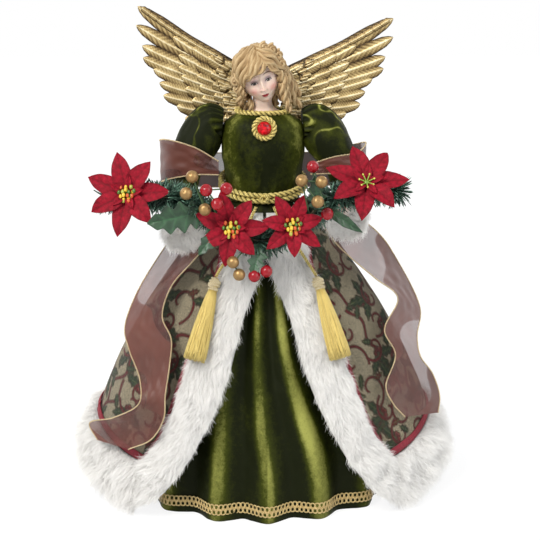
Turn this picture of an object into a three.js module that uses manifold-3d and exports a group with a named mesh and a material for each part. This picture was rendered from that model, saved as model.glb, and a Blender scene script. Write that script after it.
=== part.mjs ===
// Angel tree topper: a doll's head and hands on a wired body, in a velvet gown
// over a board cone, with a fur-trimmed open coat, moulded wings, a ribbon
// stole and a pine garland with poinsettias. Millimetres, +Z up, front towards
// -Y. Left and right are as seen from the front.

import * as THREE from 'three';
import { mergeVertices } from 'three/addons/utils/BufferGeometryUtils.js';
import Module from 'manifold-3d';

const wasm = await Module();
wasm.setup();

// Driving sizes: cone and body
const CONE_BASE_RADIUS = 82;
const CONE_TOP_RADIUS = 23;
const CONE_HEIGHT = 236;
const CONE_WALL = 2;
const PLUG_LENGTH = 28;
const WAIST_RISE = 14;
const WAIST_HEIGHT = CONE_HEIGHT + WAIST_RISE;
const WAIST_WIDTH = 62;
const WAIST_DEPTH = 54;
const CHEST_RISE = 40;
const CHEST_HEIGHT = WAIST_HEIGHT + CHEST_RISE;
const CHEST_WIDTH = 70;
const CHEST_DEPTH = 58;
const SHOULDER_RISE = 23;
const SHOULDER_HEIGHT = CHEST_HEIGHT + SHOULDER_RISE;
const SHOULDER_DEPTH = 54;
const NECK_RISE = 10;
const NECK_HEIGHT = SHOULDER_HEIGHT + NECK_RISE;
const NECKLINE_WIDTH = 38;
const NECKLINE_DEPTH = 30;
const CLOTH = 2;
const CLEARANCE = 0.3;
const SOFT_GAP = 0.6;
const TRIM_GAP = 0.9;

// Driving sizes: gown and coat
const GOWN_HEM_WIDTH = 244;
const GOWN_HEM_DEPTH = 214;
const GOWN_FOLD_DEPTH = 9;
const GOWN_FOLDS = 16;
const BRAID_HEIGHT = 10;
const BRAID_WIDTH = 9;
const BRAID_THICKNESS = 1.2;
const COAT_HEM_WIDTH = 300;
const COAT_HEM_DEPTH = 222;
const COAT_FOLD_DEPTH = 5;
const COAT_FOLDS = 7;
const COAT_EDGE_INSET = 8;
const COAT_HEM_HEIGHT = 9;
const COAT_HEM_RISE = 26;
const FUR_THICKNESS = 10;
const EDGING_WIDTH = 6;
const EDGING_THICKNESS = 1.2;
const FLARE_POWER = 1.8;

// Driving sizes: arms
const SLEEVE_PUFF_RADIUS = 17;
const SHOULDER_SPAN = 92;
const ELBOW_SPAN = 134;
const WRIST_SPAN = 132;
const ELBOW_DROP = 37;
const ELBOW_HEIGHT = SHOULDER_HEIGHT - ELBOW_DROP;
const ELBOW_REACH = 12;
const WRIST_REACH = 57;
const WRIST_DROPS = { left: 43, right: 33 };
const WRIST_HEIGHTS = {
  left: ELBOW_HEIGHT - WRIST_DROPS.left,
  right: ELBOW_HEIGHT - WRIST_DROPS.right,
};
const ARM_WIRE_RADIUS = 1.6;
const CUFF_RADIUS = 16;
const CUFF_LENGTH = 20;
const HAND_LENGTH = 26;
const HAND_WIDTH = 11;
const FINGER_RADIUS = 1.9;

// Driving sizes: head
const HEAD_WIDTH = 33;
const HEAD_DEPTH = 38;
const HEAD_HEIGHT = 44;
const HEAD_RISE = 30;
const HEAD_CENTRE_HEIGHT = NECK_HEIGHT + HEAD_RISE;
const HEAD_REACH = 8;
const HEAD_OFFSET = 3;
const HEAD_TILT = -18;
const HEAD_BOW = 14;
const NECK_RADIUS = 8.5;
const NOSE_RELIEF = 4;
const HAIR_THICKNESS = 4;
const CURL_RADIUS = 4.2;
const CURL_LENGTH = 34;

// Driving sizes: wings
const WING_SPAN = 91;
const WING_RISE = 71;
const WING_ROOT_RISE = 20;
const WING_ROOT_HEIGHT = SHOULDER_HEIGHT + WING_ROOT_RISE;
const WING_ROOT_OFFSET = 18;
const WING_ROOT_TALL = 42;
const WING_ROLL = 2.7;
const FEATHER_WIDTH = 12;
const FEATHER_THICKNESS = 3.4;
const WING_PAD_RADIUS = 9;
const BRACKET_WIDTH = 36;
const BRACKET_TALL = 24;
const BRACKET_THICKNESS = 1.6;
const SCREW_RADIUS = 1.6;
const SCREW_HEAD_RADIUS = 3.2;
const SCREW_HEAD_LENGTH = 1.8;
const SCREW_LENGTH = 18;

// Driving sizes: cords and tassels
const CORD_RADIUS = 2.6;
const BELT_RISE = 18;
const COLLAR_CORD_RADIUS = 2.2;
const BROOCH_RADIUS = 10.5;
const GEM_RADIUS = 6;
const TASSEL_CORD_RADIUS = 1.1;
const TASSEL_HEAD_RADIUS = 4.4;
const TASSEL_HEAD_LENGTH = 11;
const TASSEL_SKIRT_RADIUS = 6;
const TASSEL_SKIRT_LENGTH = 58;

// Driving sizes: ribbon and garland
const RIBBON_THICKNESS = 1;
const RIBBON_STAND = 24;
const GARLAND_SPAN = 236;
const GARLAND_REACH = 86;
const GARLAND_RADIUS = 1.8;
const NEEDLE_LENGTH = 15;
const NEEDLE_GAP = 0.8;
const PETAL_LENGTH = 32;
const PETAL_WIDTH = 16;
const PETAL_THICKNESS = 1.2;
const CALYX_RADIUS = 3.4;
const CALYX_LENGTH = 7;
const BEAD_RADIUS = 2.1;
const BERRY_RADIUS = 4.9;
const BERRY_WIRE_RADIUS = 0.7;
const LEAF_LENGTH = 46;
const LEAF_WIDTH = 27;
const LEAF_THICKNESS = 1.1;
const SLENDER_LENGTH = 38;
const SLENDER_WIDTH = 9;

const TURN = 2 * Math.PI;
const HALF = 0.5;
const SIDES = { left: -1, right: 1 };
const FRONT = new THREE.Vector3(0, -1, 0);
const UP = new THREE.Vector3(0, 0, 1);

const { lerp, degToRad, smoothstep } = THREE.MathUtils;
const point = (x, y, z) => new THREE.Vector3(x, y, z);

// Closed bodies

function closedBody(points, faces) {
  let volume = 0;
  for (const [a, b, c] of faces) {
    volume += points[a].dot(points[b].clone().cross(points[c]));
  }
  const geometry = new THREE.BufferGeometry();
  geometry.setFromPoints(points);
  geometry.setIndex(faces.flatMap(([a, b, c]) => (volume < 0 ? [a, c, b] : [a, b, c])));
  geometry.computeVertexNormals();
  return geometry;
}

// Skins a row of sections, each a closed loop of points. The ends are flat
// caps, or run to a point, and a ring joins its last section to its first.
function loft(sections, { ring = false, startTip = null, endTip = null } = {}) {
  const count = sections[0].length;
  const points = sections.flat();
  const faces = [];
  const bands = ring ? sections.length : sections.length - 1;
  for (let s = 0; s < bands; s++) {
    const near = s * count;
    const far = ((s + 1) % sections.length) * count;
    for (let i = 0; i < count; i++) {
      const j = (i + 1) % count;
      faces.push([near + i, near + j, far + j], [near + i, far + j, far + i]);
    }
  }
  if (!ring) {
    closeEnd(points, faces, 0, count, startTip, true);
    closeEnd(points, faces, (sections.length - 1) * count, count, endTip, false);
  }
  return closedBody(points, faces);
}

function closeEnd(points, faces, first, count, tip, reversed) {
  const add = (a, b, c) => faces.push(reversed ? [a, c, b] : [a, b, c]);
  if (tip) {
    const apex = points.push(tip) - 1;
    for (let i = 0; i < count; i++) add(first + i, first + ((i + 1) % count), apex);
    return;
  }
  for (let i = 0, j = count - 1; j - i > 1; i++, j--) {
    add(first + i, first + i + 1, first + j);
    if (j - i > 2) add(first + i + 1, first + j - 1, first + j);
  }
}

function solidOf(geometry) {
  const bare = new THREE.BufferGeometry();
  bare.setAttribute('position', geometry.attributes.position.clone());
  if (geometry.index) bare.setIndex(geometry.index.clone());
  const merged = mergeVertices(bare);
  return new wasm.Manifold(new wasm.Mesh({
    numProp: 3,
    vertProperties: new Float32Array(merged.attributes.position.array),
    triVerts: new Uint32Array(merged.index.array),
  }));
}

// The largest body of a solid, as a geometry.
function geometryOf(solid) {
  const bodies = solid.decompose().sort((a, b) => b.volume() - a.volume());
  const mesh = bodies[0].getMesh();
  const geometry = new THREE.BufferGeometry();
  geometry.setAttribute('position', new THREE.BufferAttribute(mesh.vertProperties, 3));
  geometry.setIndex(new THREE.BufferAttribute(mesh.triVerts, 1));
  geometry.computeVertexNormals();
  return geometry;
}

const joined = (...geometries) => geometryOf(wasm.Manifold.union(geometries.map(solidOf)));

// A geometry swelled by a little more than the clearance.
function grown(geometry, clearance = CLEARANCE) {
  const bare = new THREE.BufferGeometry();
  bare.setAttribute('position', geometry.attributes.position.clone());
  if (geometry.index) bare.setIndex(geometry.index.clone());
  const swelled = mergeVertices(bare);
  swelled.computeVertexNormals();
  const { position, normal } = swelled.attributes;
  const spread = 1.7 * clearance;
  for (let i = 0; i < position.count; i++) {
    position.setXYZ(
      i,
      position.getX(i) + normal.getX(i) * spread,
      position.getY(i) + normal.getY(i) * spread,
      position.getZ(i) + normal.getZ(i) * spread,
    );
  }
  return swelled;
}

function boxOf(geometry) {
  geometry.computeBoundingBox();
  return geometry.boundingBox;
}

// A geometry with its neighbours and their clearance cut away. A thin blade
// brings its own room, and any other neighbour is swelled.
function fitted(geometry, neighbours, clearance = CLEARANCE) {
  let solid = null;
  for (const neighbour of neighbours) {
    const { room } = neighbour.userData;
    const cutter = room ?? grown(neighbour, clearance);
    if (!boxOf(geometry).intersectsBox(boxOf(cutter))) continue;
    solid = (solid ?? solidOf(geometry)).subtract(solidOf(cutter));
    if (!room) solid = solid.subtract(solidOf(neighbour));
  }
  return solid ? geometryOf(solid) : geometry;
}

// Round sections along a curve, each with its own radius.
function roundLoft(curve, radius, { sides, steps, flat = 1, ends = true }) {
  const frames = curve.computeFrenetFrames(steps, false);
  const sections = [];
  for (let s = 0; s <= steps; s++) {
    const centre = curve.getPoint(s / steps);
    const size = radius(s / steps);
    sections.push(Array.from({ length: sides }, (_, i) => {
      const angle = (TURN * i) / sides;
      return centre.clone()
        .addScaledVector(frames.normals[s], size * Math.cos(angle))
        .addScaledVector(frames.binormals[s], size * flat * Math.sin(angle));
    }));
  }
  if (!ends) return loft(sections);
  const startTip = curve.getPoint(0).addScaledVector(frames.tangents[0], -HALF * radius(0));
  const endTip = curve.getPoint(1).addScaledVector(frames.tangents[steps], HALF * radius(1));
  return loft(sections, { startTip, endTip });
}

function tube(curve, radius, sides, steps) {
  const section = new THREE.Shape();
  section.absarc(0, 0, radius, 0, TURN);
  const outline = new THREE.Shape(section.getPoints(sides).slice(0, sides));
  return new THREE.ExtrudeGeometry(outline, { extrudePath: curve, steps });
}

// A cord that joins its own end, along a closed curve.
function cordRing(curve, radius, sides, steps) {
  const frames = curve.computeFrenetFrames(steps, true);
  return loft(Array.from({ length: steps }, (_, s) => (
    Array.from({ length: sides }, (__, i) => curve.getPoint(s / steps)
      .addScaledVector(frames.normals[s], radius * Math.cos((TURN * i) / sides))
      .addScaledVector(frames.binormals[s], radius * Math.sin((TURN * i) / sides)))
  )), { ring: true });
}

const smoothCurve = (points, closed = false) => new THREE.CatmullRomCurve3(points, closed);

// A thin leaf-like blade along a curve: two edges, a crown and a back, with a
// section at each share of its length. Its room is the blade made thicker.
function blade({ curve, facing, halfWidth, thickness, fold = 0, shares, room = 0 }) {
  const marks = room > 0 ? [...shares, 1] : shares;
  const sections = marks.map((share) => {
    const centre = curve.getPoint(share);
    const side = curve.getTangent(share).cross(facing).normalize();
    const half = halfWidth(share);
    const edge = (sign, rise) => centre.clone()
      .addScaledVector(side, sign * (half + room))
      .addScaledVector(facing, fold * half + rise);
    const ridge = (sign) => centre.clone().addScaledVector(facing, sign * (HALF * thickness + room));
    if (room === 0) return [edge(-1, 0), ridge(1), edge(1, 0), ridge(-1)];
    return [edge(-1, room), ridge(1), edge(1, room), edge(1, -room), ridge(-1), edge(-1, -room)];
  });
  const endTip = curve.getPoint(1).addScaledVector(curve.getTangent(1), room);
  return loft(sections, { endTip });
}

// Reads a table of [share, value] rows at a share, by straight lines.
function readTable(table, share) {
  const next = table.findIndex(([at]) => at >= share);
  if (next <= 0) return next === 0 ? table[0][1] : table.at(-1)[1];
  const [from, low] = table[next - 1];
  const [to, high] = table[next];
  return lerp(low, high, (share - from) / (to - from));
}

// Drapes: the gown and the coat flare from the waist to their hems. A point
// lies at an angle from the front, a height, and a distance out of the cloth.

const flare = (height) => 1 - Math.min(height / WAIST_HEIGHT, 1) ** FLARE_POWER;

function onOval(width, depth, angle, out, height) {
  return point(
    (HALF * width + out) * Math.sin(angle),
    -(HALF * depth + out) * Math.cos(angle),
    height,
  );
}

function gownPoint(angle, height, out) {
  const wave = HALF - HALF * Math.cos(GOWN_FOLDS * angle + HALF * Math.sin(3 * angle));
  const fold = GOWN_FOLD_DEPTH * wave * flare(height);
  return onOval(
    lerp(WAIST_WIDTH, GOWN_HEM_WIDTH, flare(height)),
    lerp(WAIST_DEPTH, GOWN_HEM_DEPTH, flare(height)),
    angle,
    out - fold,
    height,
  );
}

function coatWave(angle, height) {
  return COAT_FOLD_DEPTH * (HALF - HALF * Math.cos(COAT_FOLDS * angle)) * flare(height);
}

function coatPoint(angle, height, out) {
  return onOval(
    lerp(WAIST_WIDTH, COAT_HEM_WIDTH, flare(height)),
    lerp(WAIST_DEPTH, COAT_HEM_DEPTH, flare(height)),
    angle,
    SOFT_GAP + out + coatWave(angle, height),
    height,
  );
}

const coatHalfWidth = (height) => HALF * lerp(WAIST_WIDTH, COAT_HEM_WIDTH, flare(height));

// A band on the coat. Each station gives the angle and height of its two
// edges, and the profile gives shares across the band and distances out.
function coatBand(stations, profile) {
  return loft(stations.map(([angleA, heightA, angleB, heightB]) => (
    profile.map(([across, out]) => coatPoint(
      lerp(angleA, angleB, across),
      lerp(heightA, heightB, across),
      out,
    ))
  )));
}

// Cone and body

function makeCone() {
  const profile = [
    [CONE_BASE_RADIUS - CONE_WALL, 0],
    [CONE_BASE_RADIUS, 0],
    [CONE_TOP_RADIUS, CONE_HEIGHT],
    [CONE_TOP_RADIUS - CONE_WALL, CONE_HEIGHT],
    [CONE_BASE_RADIUS - CONE_WALL, 0],
  ];
  const lathe = new THREE.LatheGeometry(profile.map(([r, z]) => new THREE.Vector2(r, z)), 24);
  return lathe.rotateX(degToRad(90));
}

const ovalLoop = (width, depth, height, count) => (
  Array.from({ length: count }, (_, i) => onOval(width, depth, (TURN * i) / count, 0, height))
);

// Widths and depths of the torso from the waist to the neck, cloth included.
const TORSO_STATIONS = [
  [WAIST_HEIGHT, WAIST_WIDTH, WAIST_DEPTH],
  [CHEST_HEIGHT, CHEST_WIDTH, CHEST_DEPTH],
  [SHOULDER_HEIGHT, CHEST_WIDTH, SHOULDER_DEPTH],
  [NECK_HEIGHT, NECKLINE_WIDTH, NECKLINE_DEPTH],
];

function torsoAt(height) {
  return [1, 2].map((column) => readTable(TORSO_STATIONS.map((row) => [row[0], row[column]]), height));
}

function makeTorso() {
  const plugTop = CONE_TOP_RADIUS - CONE_WALL - CLEARANCE;
  const taper = (CONE_BASE_RADIUS - CONE_TOP_RADIUS) / CONE_HEIGHT;
  const plugBottom = plugTop + taper * PLUG_LENGTH - SOFT_GAP;
  const inset = 2 * (CLOTH + SOFT_GAP);
  const sections = [
    ovalLoop(2 * plugBottom, 2 * plugBottom, CONE_HEIGHT - PLUG_LENGTH, 16),
    ovalLoop(2 * plugTop, 2 * plugTop, CONE_HEIGHT, 16),
    ovalLoop(WAIST_WIDTH - inset, WAIST_DEPTH - inset, CONE_HEIGHT + CLEARANCE, 16),
    ...TORSO_STATIONS.map(([height, width, depth]) => ovalLoop(width - inset, depth - inset, height, 16)),
  ];
  return loft(sections);
}

function makeBodice() {
  const columns = 16;
  const rim = NECK_HEIGHT + CLOTH;
  return loft(Array.from({ length: columns }, (_, i) => {
    const angle = (TURN * i) / columns;
    const outer = TORSO_STATIONS.map(([height, width, depth], row) => (
      onOval(width, depth, angle, 0, row === 0 ? height + SOFT_GAP : height)
    ));
    const inner = TORSO_STATIONS.map(([height, width, depth], row) => (
      onOval(width, depth, angle, -CLOTH, row === 0 ? height + SOFT_GAP : height)
    ));
    outer.push(onOval(NECKLINE_WIDTH, NECKLINE_DEPTH, angle, 0, rim));
    inner.push(onOval(NECKLINE_WIDTH, NECKLINE_DEPTH, angle, -CLOTH, rim));
    return [...outer, ...inner.reverse()];
  }), { ring: true });
}

// Gown skirt and its hem braid

const GOWN_ROW_SHARES = [1, 0.84, 0.6, 0.3, 0];
const GOWN_LINING_SHARES = [0, 0.5, 1];

function makeSkirt() {
  const columns = 4 * GOWN_FOLDS;
  return loft(Array.from({ length: columns }, (_, i) => {
    const angle = (TURN * i) / columns;
    const lining = (height) => onOval(
      lerp(WAIST_WIDTH, GOWN_HEM_WIDTH, flare(height)),
      lerp(WAIST_DEPTH, GOWN_HEM_DEPTH, flare(height)),
      angle,
      -CLOTH - GOWN_FOLD_DEPTH * flare(height),
      height,
    );
    return [
      ...GOWN_ROW_SHARES.map((share) => gownPoint(angle, share * WAIST_HEIGHT, 0)),
      ...GOWN_LINING_SHARES.map((share) => lining(share * WAIST_HEIGHT)),
    ];
  }), { ring: true });
}

// The braid runs across the front, to well under the coat's edges.
const BRAID_ARC = 60;

function makeHemBraid() {
  const columns = Math.round((4 * GOWN_FOLDS * BRAID_ARC) / 360);
  const low = BRAID_HEIGHT - HALF * BRAID_WIDTH;
  const high = BRAID_HEIGHT + HALF * BRAID_WIDTH;
  const far = SOFT_GAP + BRAID_THICKNESS;
  return loft(Array.from({ length: 2 * columns + 1 }, (_, i) => {
    const angle = (TURN * (i - columns)) / (4 * GOWN_FOLDS);
    return [
      gownPoint(angle, low, SOFT_GAP),
      gownPoint(angle, low, far),
      gownPoint(angle, high, far),
      gownPoint(angle, high, SOFT_GAP),
    ];
  }));
}

// Coat, open down the front. Rows are shares of the waist's height and of the
// coat's half width: the fur's inner edge, then its outer edge.
const FUR_STATION_SHARES = [
  [0.975, 0.03, 0.975, 0.77],
  [0.91, 0.03, 0.91, 0.58],
  [0.83, 0.03, 0.83, 0.47],
  [0.75, 0.11, 0.75, 0.46],
  [0.66, 0.19, 0.67, 0.475],
  [0.58, 0.22, 0.6, 0.49],
  [0.505, 0.245, 0.53, 0.505],
  [0.43, 0.28, 0.46, 0.52],
  [0.36, 0.32, 0.395, 0.535],
  [0.29, 0.37, 0.33, 0.555],
  [0.22, 0.42, 0.27, 0.59],
  [0.15, 0.49, 0.225, 0.63],
  [0.08, 0.57, 0.2, 0.66],
  [0.028, 0.69, 0.178, 0.672],
];
const FUR_CORNER_SHARES = FUR_STATION_SHARES.at(-1);

// How far the coat's hem rises at an angle, from its corners to its sides.
function hemRise(angle) {
  const corner = Math.asin(FUR_CORNER_SHARES[1]);
  const beside = Math.min(angle, TURN - angle);
  return COAT_HEM_RISE * smoothstep(beside, corner, HALF * Math.PI);
}

const FUR_PROFILE_SHARES = [
  [0, 0], [0, 0.5], [0.2, 0.95], [0.5, 1], [0.8, 0.95], [1, 0.5], [1, 0], [0.67, 0], [0.33, 0],
];
const furProfile = FUR_PROFILE_SHARES.map(([across, out]) => (
  [across, CLOTH + TRIM_GAP + out * FUR_THICKNESS]
));

const furStations = (side) => FUR_STATION_SHARES.map(([heightA, widthA, heightB, widthB]) => [
  side * Math.asin(widthA),
  heightA * WAIST_HEIGHT,
  side * Math.asin(widthB),
  heightB * WAIST_HEIGHT,
]);

const COAT_COLUMNS = 32;
const COAT_ROW_SHARES = [0.985, 0.86, 0.7, 0.48, 0.25];

function coatEdgeAngle(height) {
  const table = FUR_STATION_SHARES.map(([share, width]) => [share, width]).reverse();
  const inner = Math.asin(readTable(table, height / WAIST_HEIGHT));
  return inner + COAT_EDGE_INSET / coatHalfWidth(height);
}

function makeCoat() {
  const columns = COAT_COLUMNS;
  const heights = [...COAT_ROW_SHARES.map((share) => share * WAIST_HEIGHT), COAT_HEM_HEIGHT];
  return loft(Array.from({ length: columns + 1 }, (_, i) => {
    const row = (height, out) => {
      const start = coatEdgeAngle(height);
      const angle = lerp(start, TURN - start, i / columns);
      const rise = height === COAT_HEM_HEIGHT ? hemRise(angle) : 0;
      return coatPoint(angle, height + rise, out);
    };
    return [
      ...heights.map((height) => row(height, CLOTH)),
      ...heights.map((height) => row(height, 0)).reverse(),
    ];
  }));
}

const makeFrontFur = (side) => coatBand(furStations(side), furProfile);

function hemStations(lowShare, highShare, lowWidth, highWidth) {
  const columns = COAT_COLUMNS;
  const gap = SOFT_GAP / coatHalfWidth(0);
  const low = Math.asin(lowWidth) + gap;
  const high = Math.asin(highWidth) + gap;
  return Array.from({ length: columns + 1 }, (_, i) => {
    const lowAngle = lerp(low, TURN - low, i / columns);
    const highAngle = lerp(high, TURN - high, i / columns);
    return [
      lowAngle,
      lowShare * WAIST_HEIGHT + hemRise(lowAngle),
      highAngle,
      highShare * WAIST_HEIGHT + hemRise(highAngle),
    ];
  });
}

function makeHemFur() {
  const [lowShare, lowWidth, highShare, highWidth] = FUR_CORNER_SHARES;
  return coatBand(hemStations(lowShare, highShare, lowWidth, highWidth), furProfile.slice(0, -1));
}

// The edging runs down one front, round the hem and up the other front.
function makeEdging() {
  const beside = (side) => FUR_STATION_SHARES.slice(1, -1).map(([, , share, width]) => {
    const height = share * WAIST_HEIGHT;
    const near = Math.asin(width) + SOFT_GAP / coatHalfWidth(height);
    const far = near + EDGING_WIDTH / coatHalfWidth(height);
    return [side * near, height, side * far, height];
  });
  const [, , cornerShare, cornerWidth] = FUR_CORNER_SHARES;
  const low = cornerShare * WAIST_HEIGHT + SOFT_GAP;
  const high = low + EDGING_WIDTH;
  const start = Math.asin(cornerWidth) + EDGING_WIDTH / coatHalfWidth(low);
  const columns = COAT_COLUMNS;
  const round = Array.from({ length: columns + 1 }, (_, i) => {
    const angle = lerp(start, TURN - start, i / columns);
    return [angle, low + hemRise(angle), angle, high + hemRise(angle)];
  });
  const up = beside(-1).reverse().map(([a, b, c, d]) => [TURN + a, b, TURN + c, d]);
  const near = CLOTH + TRIM_GAP;
  const far = near + EDGING_THICKNESS;
  return coatBand([...beside(1), ...round, ...up], [[0, near], [0, far], [1, far], [1, near]]);
}

// Arms, sleeves, cuffs and hands

function armPoints(name) {
  const side = SIDES[name];
  const wrist = WRIST_HEIGHTS[name];
  const shoulder = HALF * side * SHOULDER_SPAN;
  const elbow = HALF * side * ELBOW_SPAN;
  return {
    shoulder: point(shoulder, 0, SHOULDER_HEIGHT),
    upper: point(lerp(shoulder, elbow, 0.6), -HALF * ELBOW_REACH, lerp(SHOULDER_HEIGHT, ELBOW_HEIGHT, 0.45)),
    elbow: point(elbow, -ELBOW_REACH, ELBOW_HEIGHT),
    fore: point(elbow, -lerp(ELBOW_REACH, WRIST_REACH, 0.5), lerp(ELBOW_HEIGHT, wrist, 0.62)),
    wrist: point(HALF * side * WRIST_SPAN, -WRIST_REACH, wrist),
  };
}

function armCurve(name) {
  const { shoulder, upper, elbow, fore, wrist } = armPoints(name);
  const inner = shoulder.clone().setX(0.7 * shoulder.x);
  return smoothCurve([inner, shoulder, upper, elbow, fore, wrist]);
}

const SLEEVE_RADIUS_SHARES = [[0, 0.7], [0.15, 1], [0.35, 1], [0.6, 0.85], [0.8, 0.72], [1, 0.5]];

function makeSleeve(name) {
  const radius = (share) => readTable(SLEEVE_RADIUS_SHARES, share) * SLEEVE_PUFF_RADIUS;
  return roundLoft(armCurve(name), radius, { sides: 8, steps: 8, ends: false });
}

function makeArmWire() {
  const left = armCurve('left');
  const right = armCurve('right');
  const reach = (curve) => [1, 0.8, 0.6, 0.4, 0.2, 0].map((share) => curve.getPoint(share));
  const path = smoothCurve([...reach(left), ...reach(right).reverse()]);
  return tube(path, ARM_WIRE_RADIUS, 5, 18);
}

function wristFrame(name) {
  const curve = armCurve(name);
  const along = curve.getTangent(1);
  return { tip: curve.getPoint(1), along };
}

function makeCuff(name) {
  const { tip, along } = wristFrame(name);
  const bore = HALF * SLEEVE_PUFF_RADIUS + HALF * CUFF_LENGTH * 0.25 + SOFT_GAP;
  const half = HALF * CUFF_LENGTH;
  const profile = [
    [bore, -half * 0.8],
    [lerp(bore, CUFF_RADIUS, 0.7), -half],
    [CUFF_RADIUS, -half * 0.5],
    [CUFF_RADIUS, half * 0.5],
    [lerp(bore, CUFF_RADIUS, 0.7), half],
    [bore, half * 0.8],
    [bore, -half * 0.8],
  ];
  const lathe = new THREE.LatheGeometry(profile.map(([r, z]) => new THREE.Vector2(r, z)), 12);
  const turn = new THREE.Quaternion().setFromUnitVectors(point(0, 1, 0), along);
  const centre = tip.clone().addScaledVector(along, -HALF * half);
  return lathe.applyQuaternion(turn).translate(centre.x, centre.y, centre.z);
}

function makeHand(name, grip) {
  const { tip } = wristFrame(name);
  const start = tip.clone().lerp(grip, 0.1);
  const palmEnd = start.clone().lerp(grip, 0.72);
  const bent = start.clone().lerp(palmEnd, HALF);
  const palm = roundLoft(
    new THREE.QuadraticBezierCurve3(start, bent, palmEnd),
    (share) => HALF * HAND_WIDTH * lerp(0.6, 1, share),
    { sides: 6, steps: 2, flat: 0.62 },
  );
  const reach = grip.clone().sub(start).normalize();
  const across = point(1, 0, 0);
  const outward = reach.clone().cross(across).normalize();
  if (outward.dot(FRONT) < 0) outward.negate();
  const finger = (place, length) => {
    const root = palmEnd.clone().addScaledVector(across, place * HALF * HAND_WIDTH);
    const over = 2.4 * FINGER_RADIUS;
    const bend = root.clone().addScaledVector(reach, length).addScaledVector(outward, HALF * over);
    const end = bend.clone().addScaledVector(outward, 2 * over).addScaledVector(reach, -HALF * length);
    return roundLoft(
      new THREE.QuadraticBezierCurve3(root, bend, end),
      (share) => FINGER_RADIUS * lerp(1, 0.75, share),
      { sides: 4, steps: 2 },
    );
  };
  const span = 0.4 * HAND_LENGTH;
  const fingers = [[-0.75, 0.8], [-0.25, 1], [0.25, 1], [0.75, 0.85]].map(([place, share]) => (
    finger(place, share * span)
  ));
  return joined(palm, ...fingers);
}

// Head and hair. The head is made upright and then bowed and tilted.

const headTurn = new THREE.Matrix4().compose(
  point(-HEAD_OFFSET, -HEAD_REACH, HEAD_CENTRE_HEIGHT),
  new THREE.Quaternion().setFromEuler(new THREE.Euler(degToRad(HEAD_BOW), degToRad(HEAD_TILT), 0, 'YXZ')),
  point(1, 1, 1),
);

// Relief of the face: [across, up, width, height, out], in shares of the
// head's half width, half height and the nose's relief.
const FACE_SHARES = [
  [0, -0.12, 0.16, 0.2, 1],
  [0, 0.08, 0.1, 0.22, 0.45],
  [-0.42, 0.08, 0.24, 0.12, -0.45],
  [0.42, 0.08, 0.24, 0.12, -0.45],
  [0, -0.42, 0.26, 0.08, 0.4],
  [0, -0.54, 0.22, 0.06, 0.35],
  [0, -0.78, 0.24, 0.14, 0.6],
  [-0.5, -0.25, 0.26, 0.2, 0.3],
  [0.5, -0.25, 0.26, 0.2, 0.3],
];

function headSurface(theta, phi) {
  const up = Math.cos(phi);
  const ring = Math.sin(phi);
  const across = ring * Math.sin(theta);
  const ahead = ring * Math.cos(theta);
  const jaw = 1 - 0.28 * smoothstep(-up, 0.1, 1);
  let relief = 0;
  if (ahead > 0) {
    for (const [x, z, w, h, out] of FACE_SHARES) {
      relief += out * Math.exp(-(((across - x) / w) ** 2) - (((up - z) / h) ** 2));
    }
  }
  const depth = HALF * HEAD_DEPTH * ahead * (ahead > 0 ? 0.92 : 1);
  return point(
    HALF * HEAD_WIDTH * across * jaw,
    -depth - NOSE_RELIEF * relief,
    HALF * HEAD_HEIGHT * up,
  );
}

function makeHead() {
  const columns = 16;
  const rows = 10;
  const ring = (phi) => Array.from({ length: columns }, (_, i) => headSurface((TURN * i) / columns, phi));
  const sections = Array.from({ length: rows - 1 }, (_, i) => ring((Math.PI * (i + 1)) / rows));
  const skull = loft(sections, { startTip: headSurface(0, 0), endTip: headSurface(0, Math.PI) });
  skull.applyMatrix4(headTurn);
  const chin = point(0, 0, -HALF * HEAD_HEIGHT * 0.3).applyMatrix4(headTurn);
  const inside = CLOTH + SOFT_GAP;
  const neckSections = [
    ovalLoop(NECKLINE_WIDTH - 2 * inside, NECKLINE_DEPTH - 2 * inside, NECK_HEIGHT + CLEARANCE, 12),
    ovalLoop(NECKLINE_WIDTH - 4 * inside, NECKLINE_DEPTH - 4 * inside, NECK_HEIGHT + CLOTH, 12),
    ovalLoop(2 * NECK_RADIUS, 2 * NECK_RADIUS, NECK_HEIGHT + 3 * CLOTH, 12),
  ];
  const top = ovalLoop(2 * NECK_RADIUS, 2 * NECK_RADIUS, chin.z, 12);
  neckSections.push(top.map((p) => p.add(point(chin.x, chin.y, 0))));
  return joined(skull, loft(neckSections));
}

const CURL_PLACE_SHARES = [
  [0.86, 0.5, 0.1, 1],
  [1, 0.05, -0.05, 1.1],
  [0.8, -0.4, 0.1, 0.95],
  [0.6, 0.2, 0.85, 0.5],
  [-1, 0.3, -0.1, 0.5],
  [-0.98, -0.2, -0.15, 0.75],
];

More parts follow.
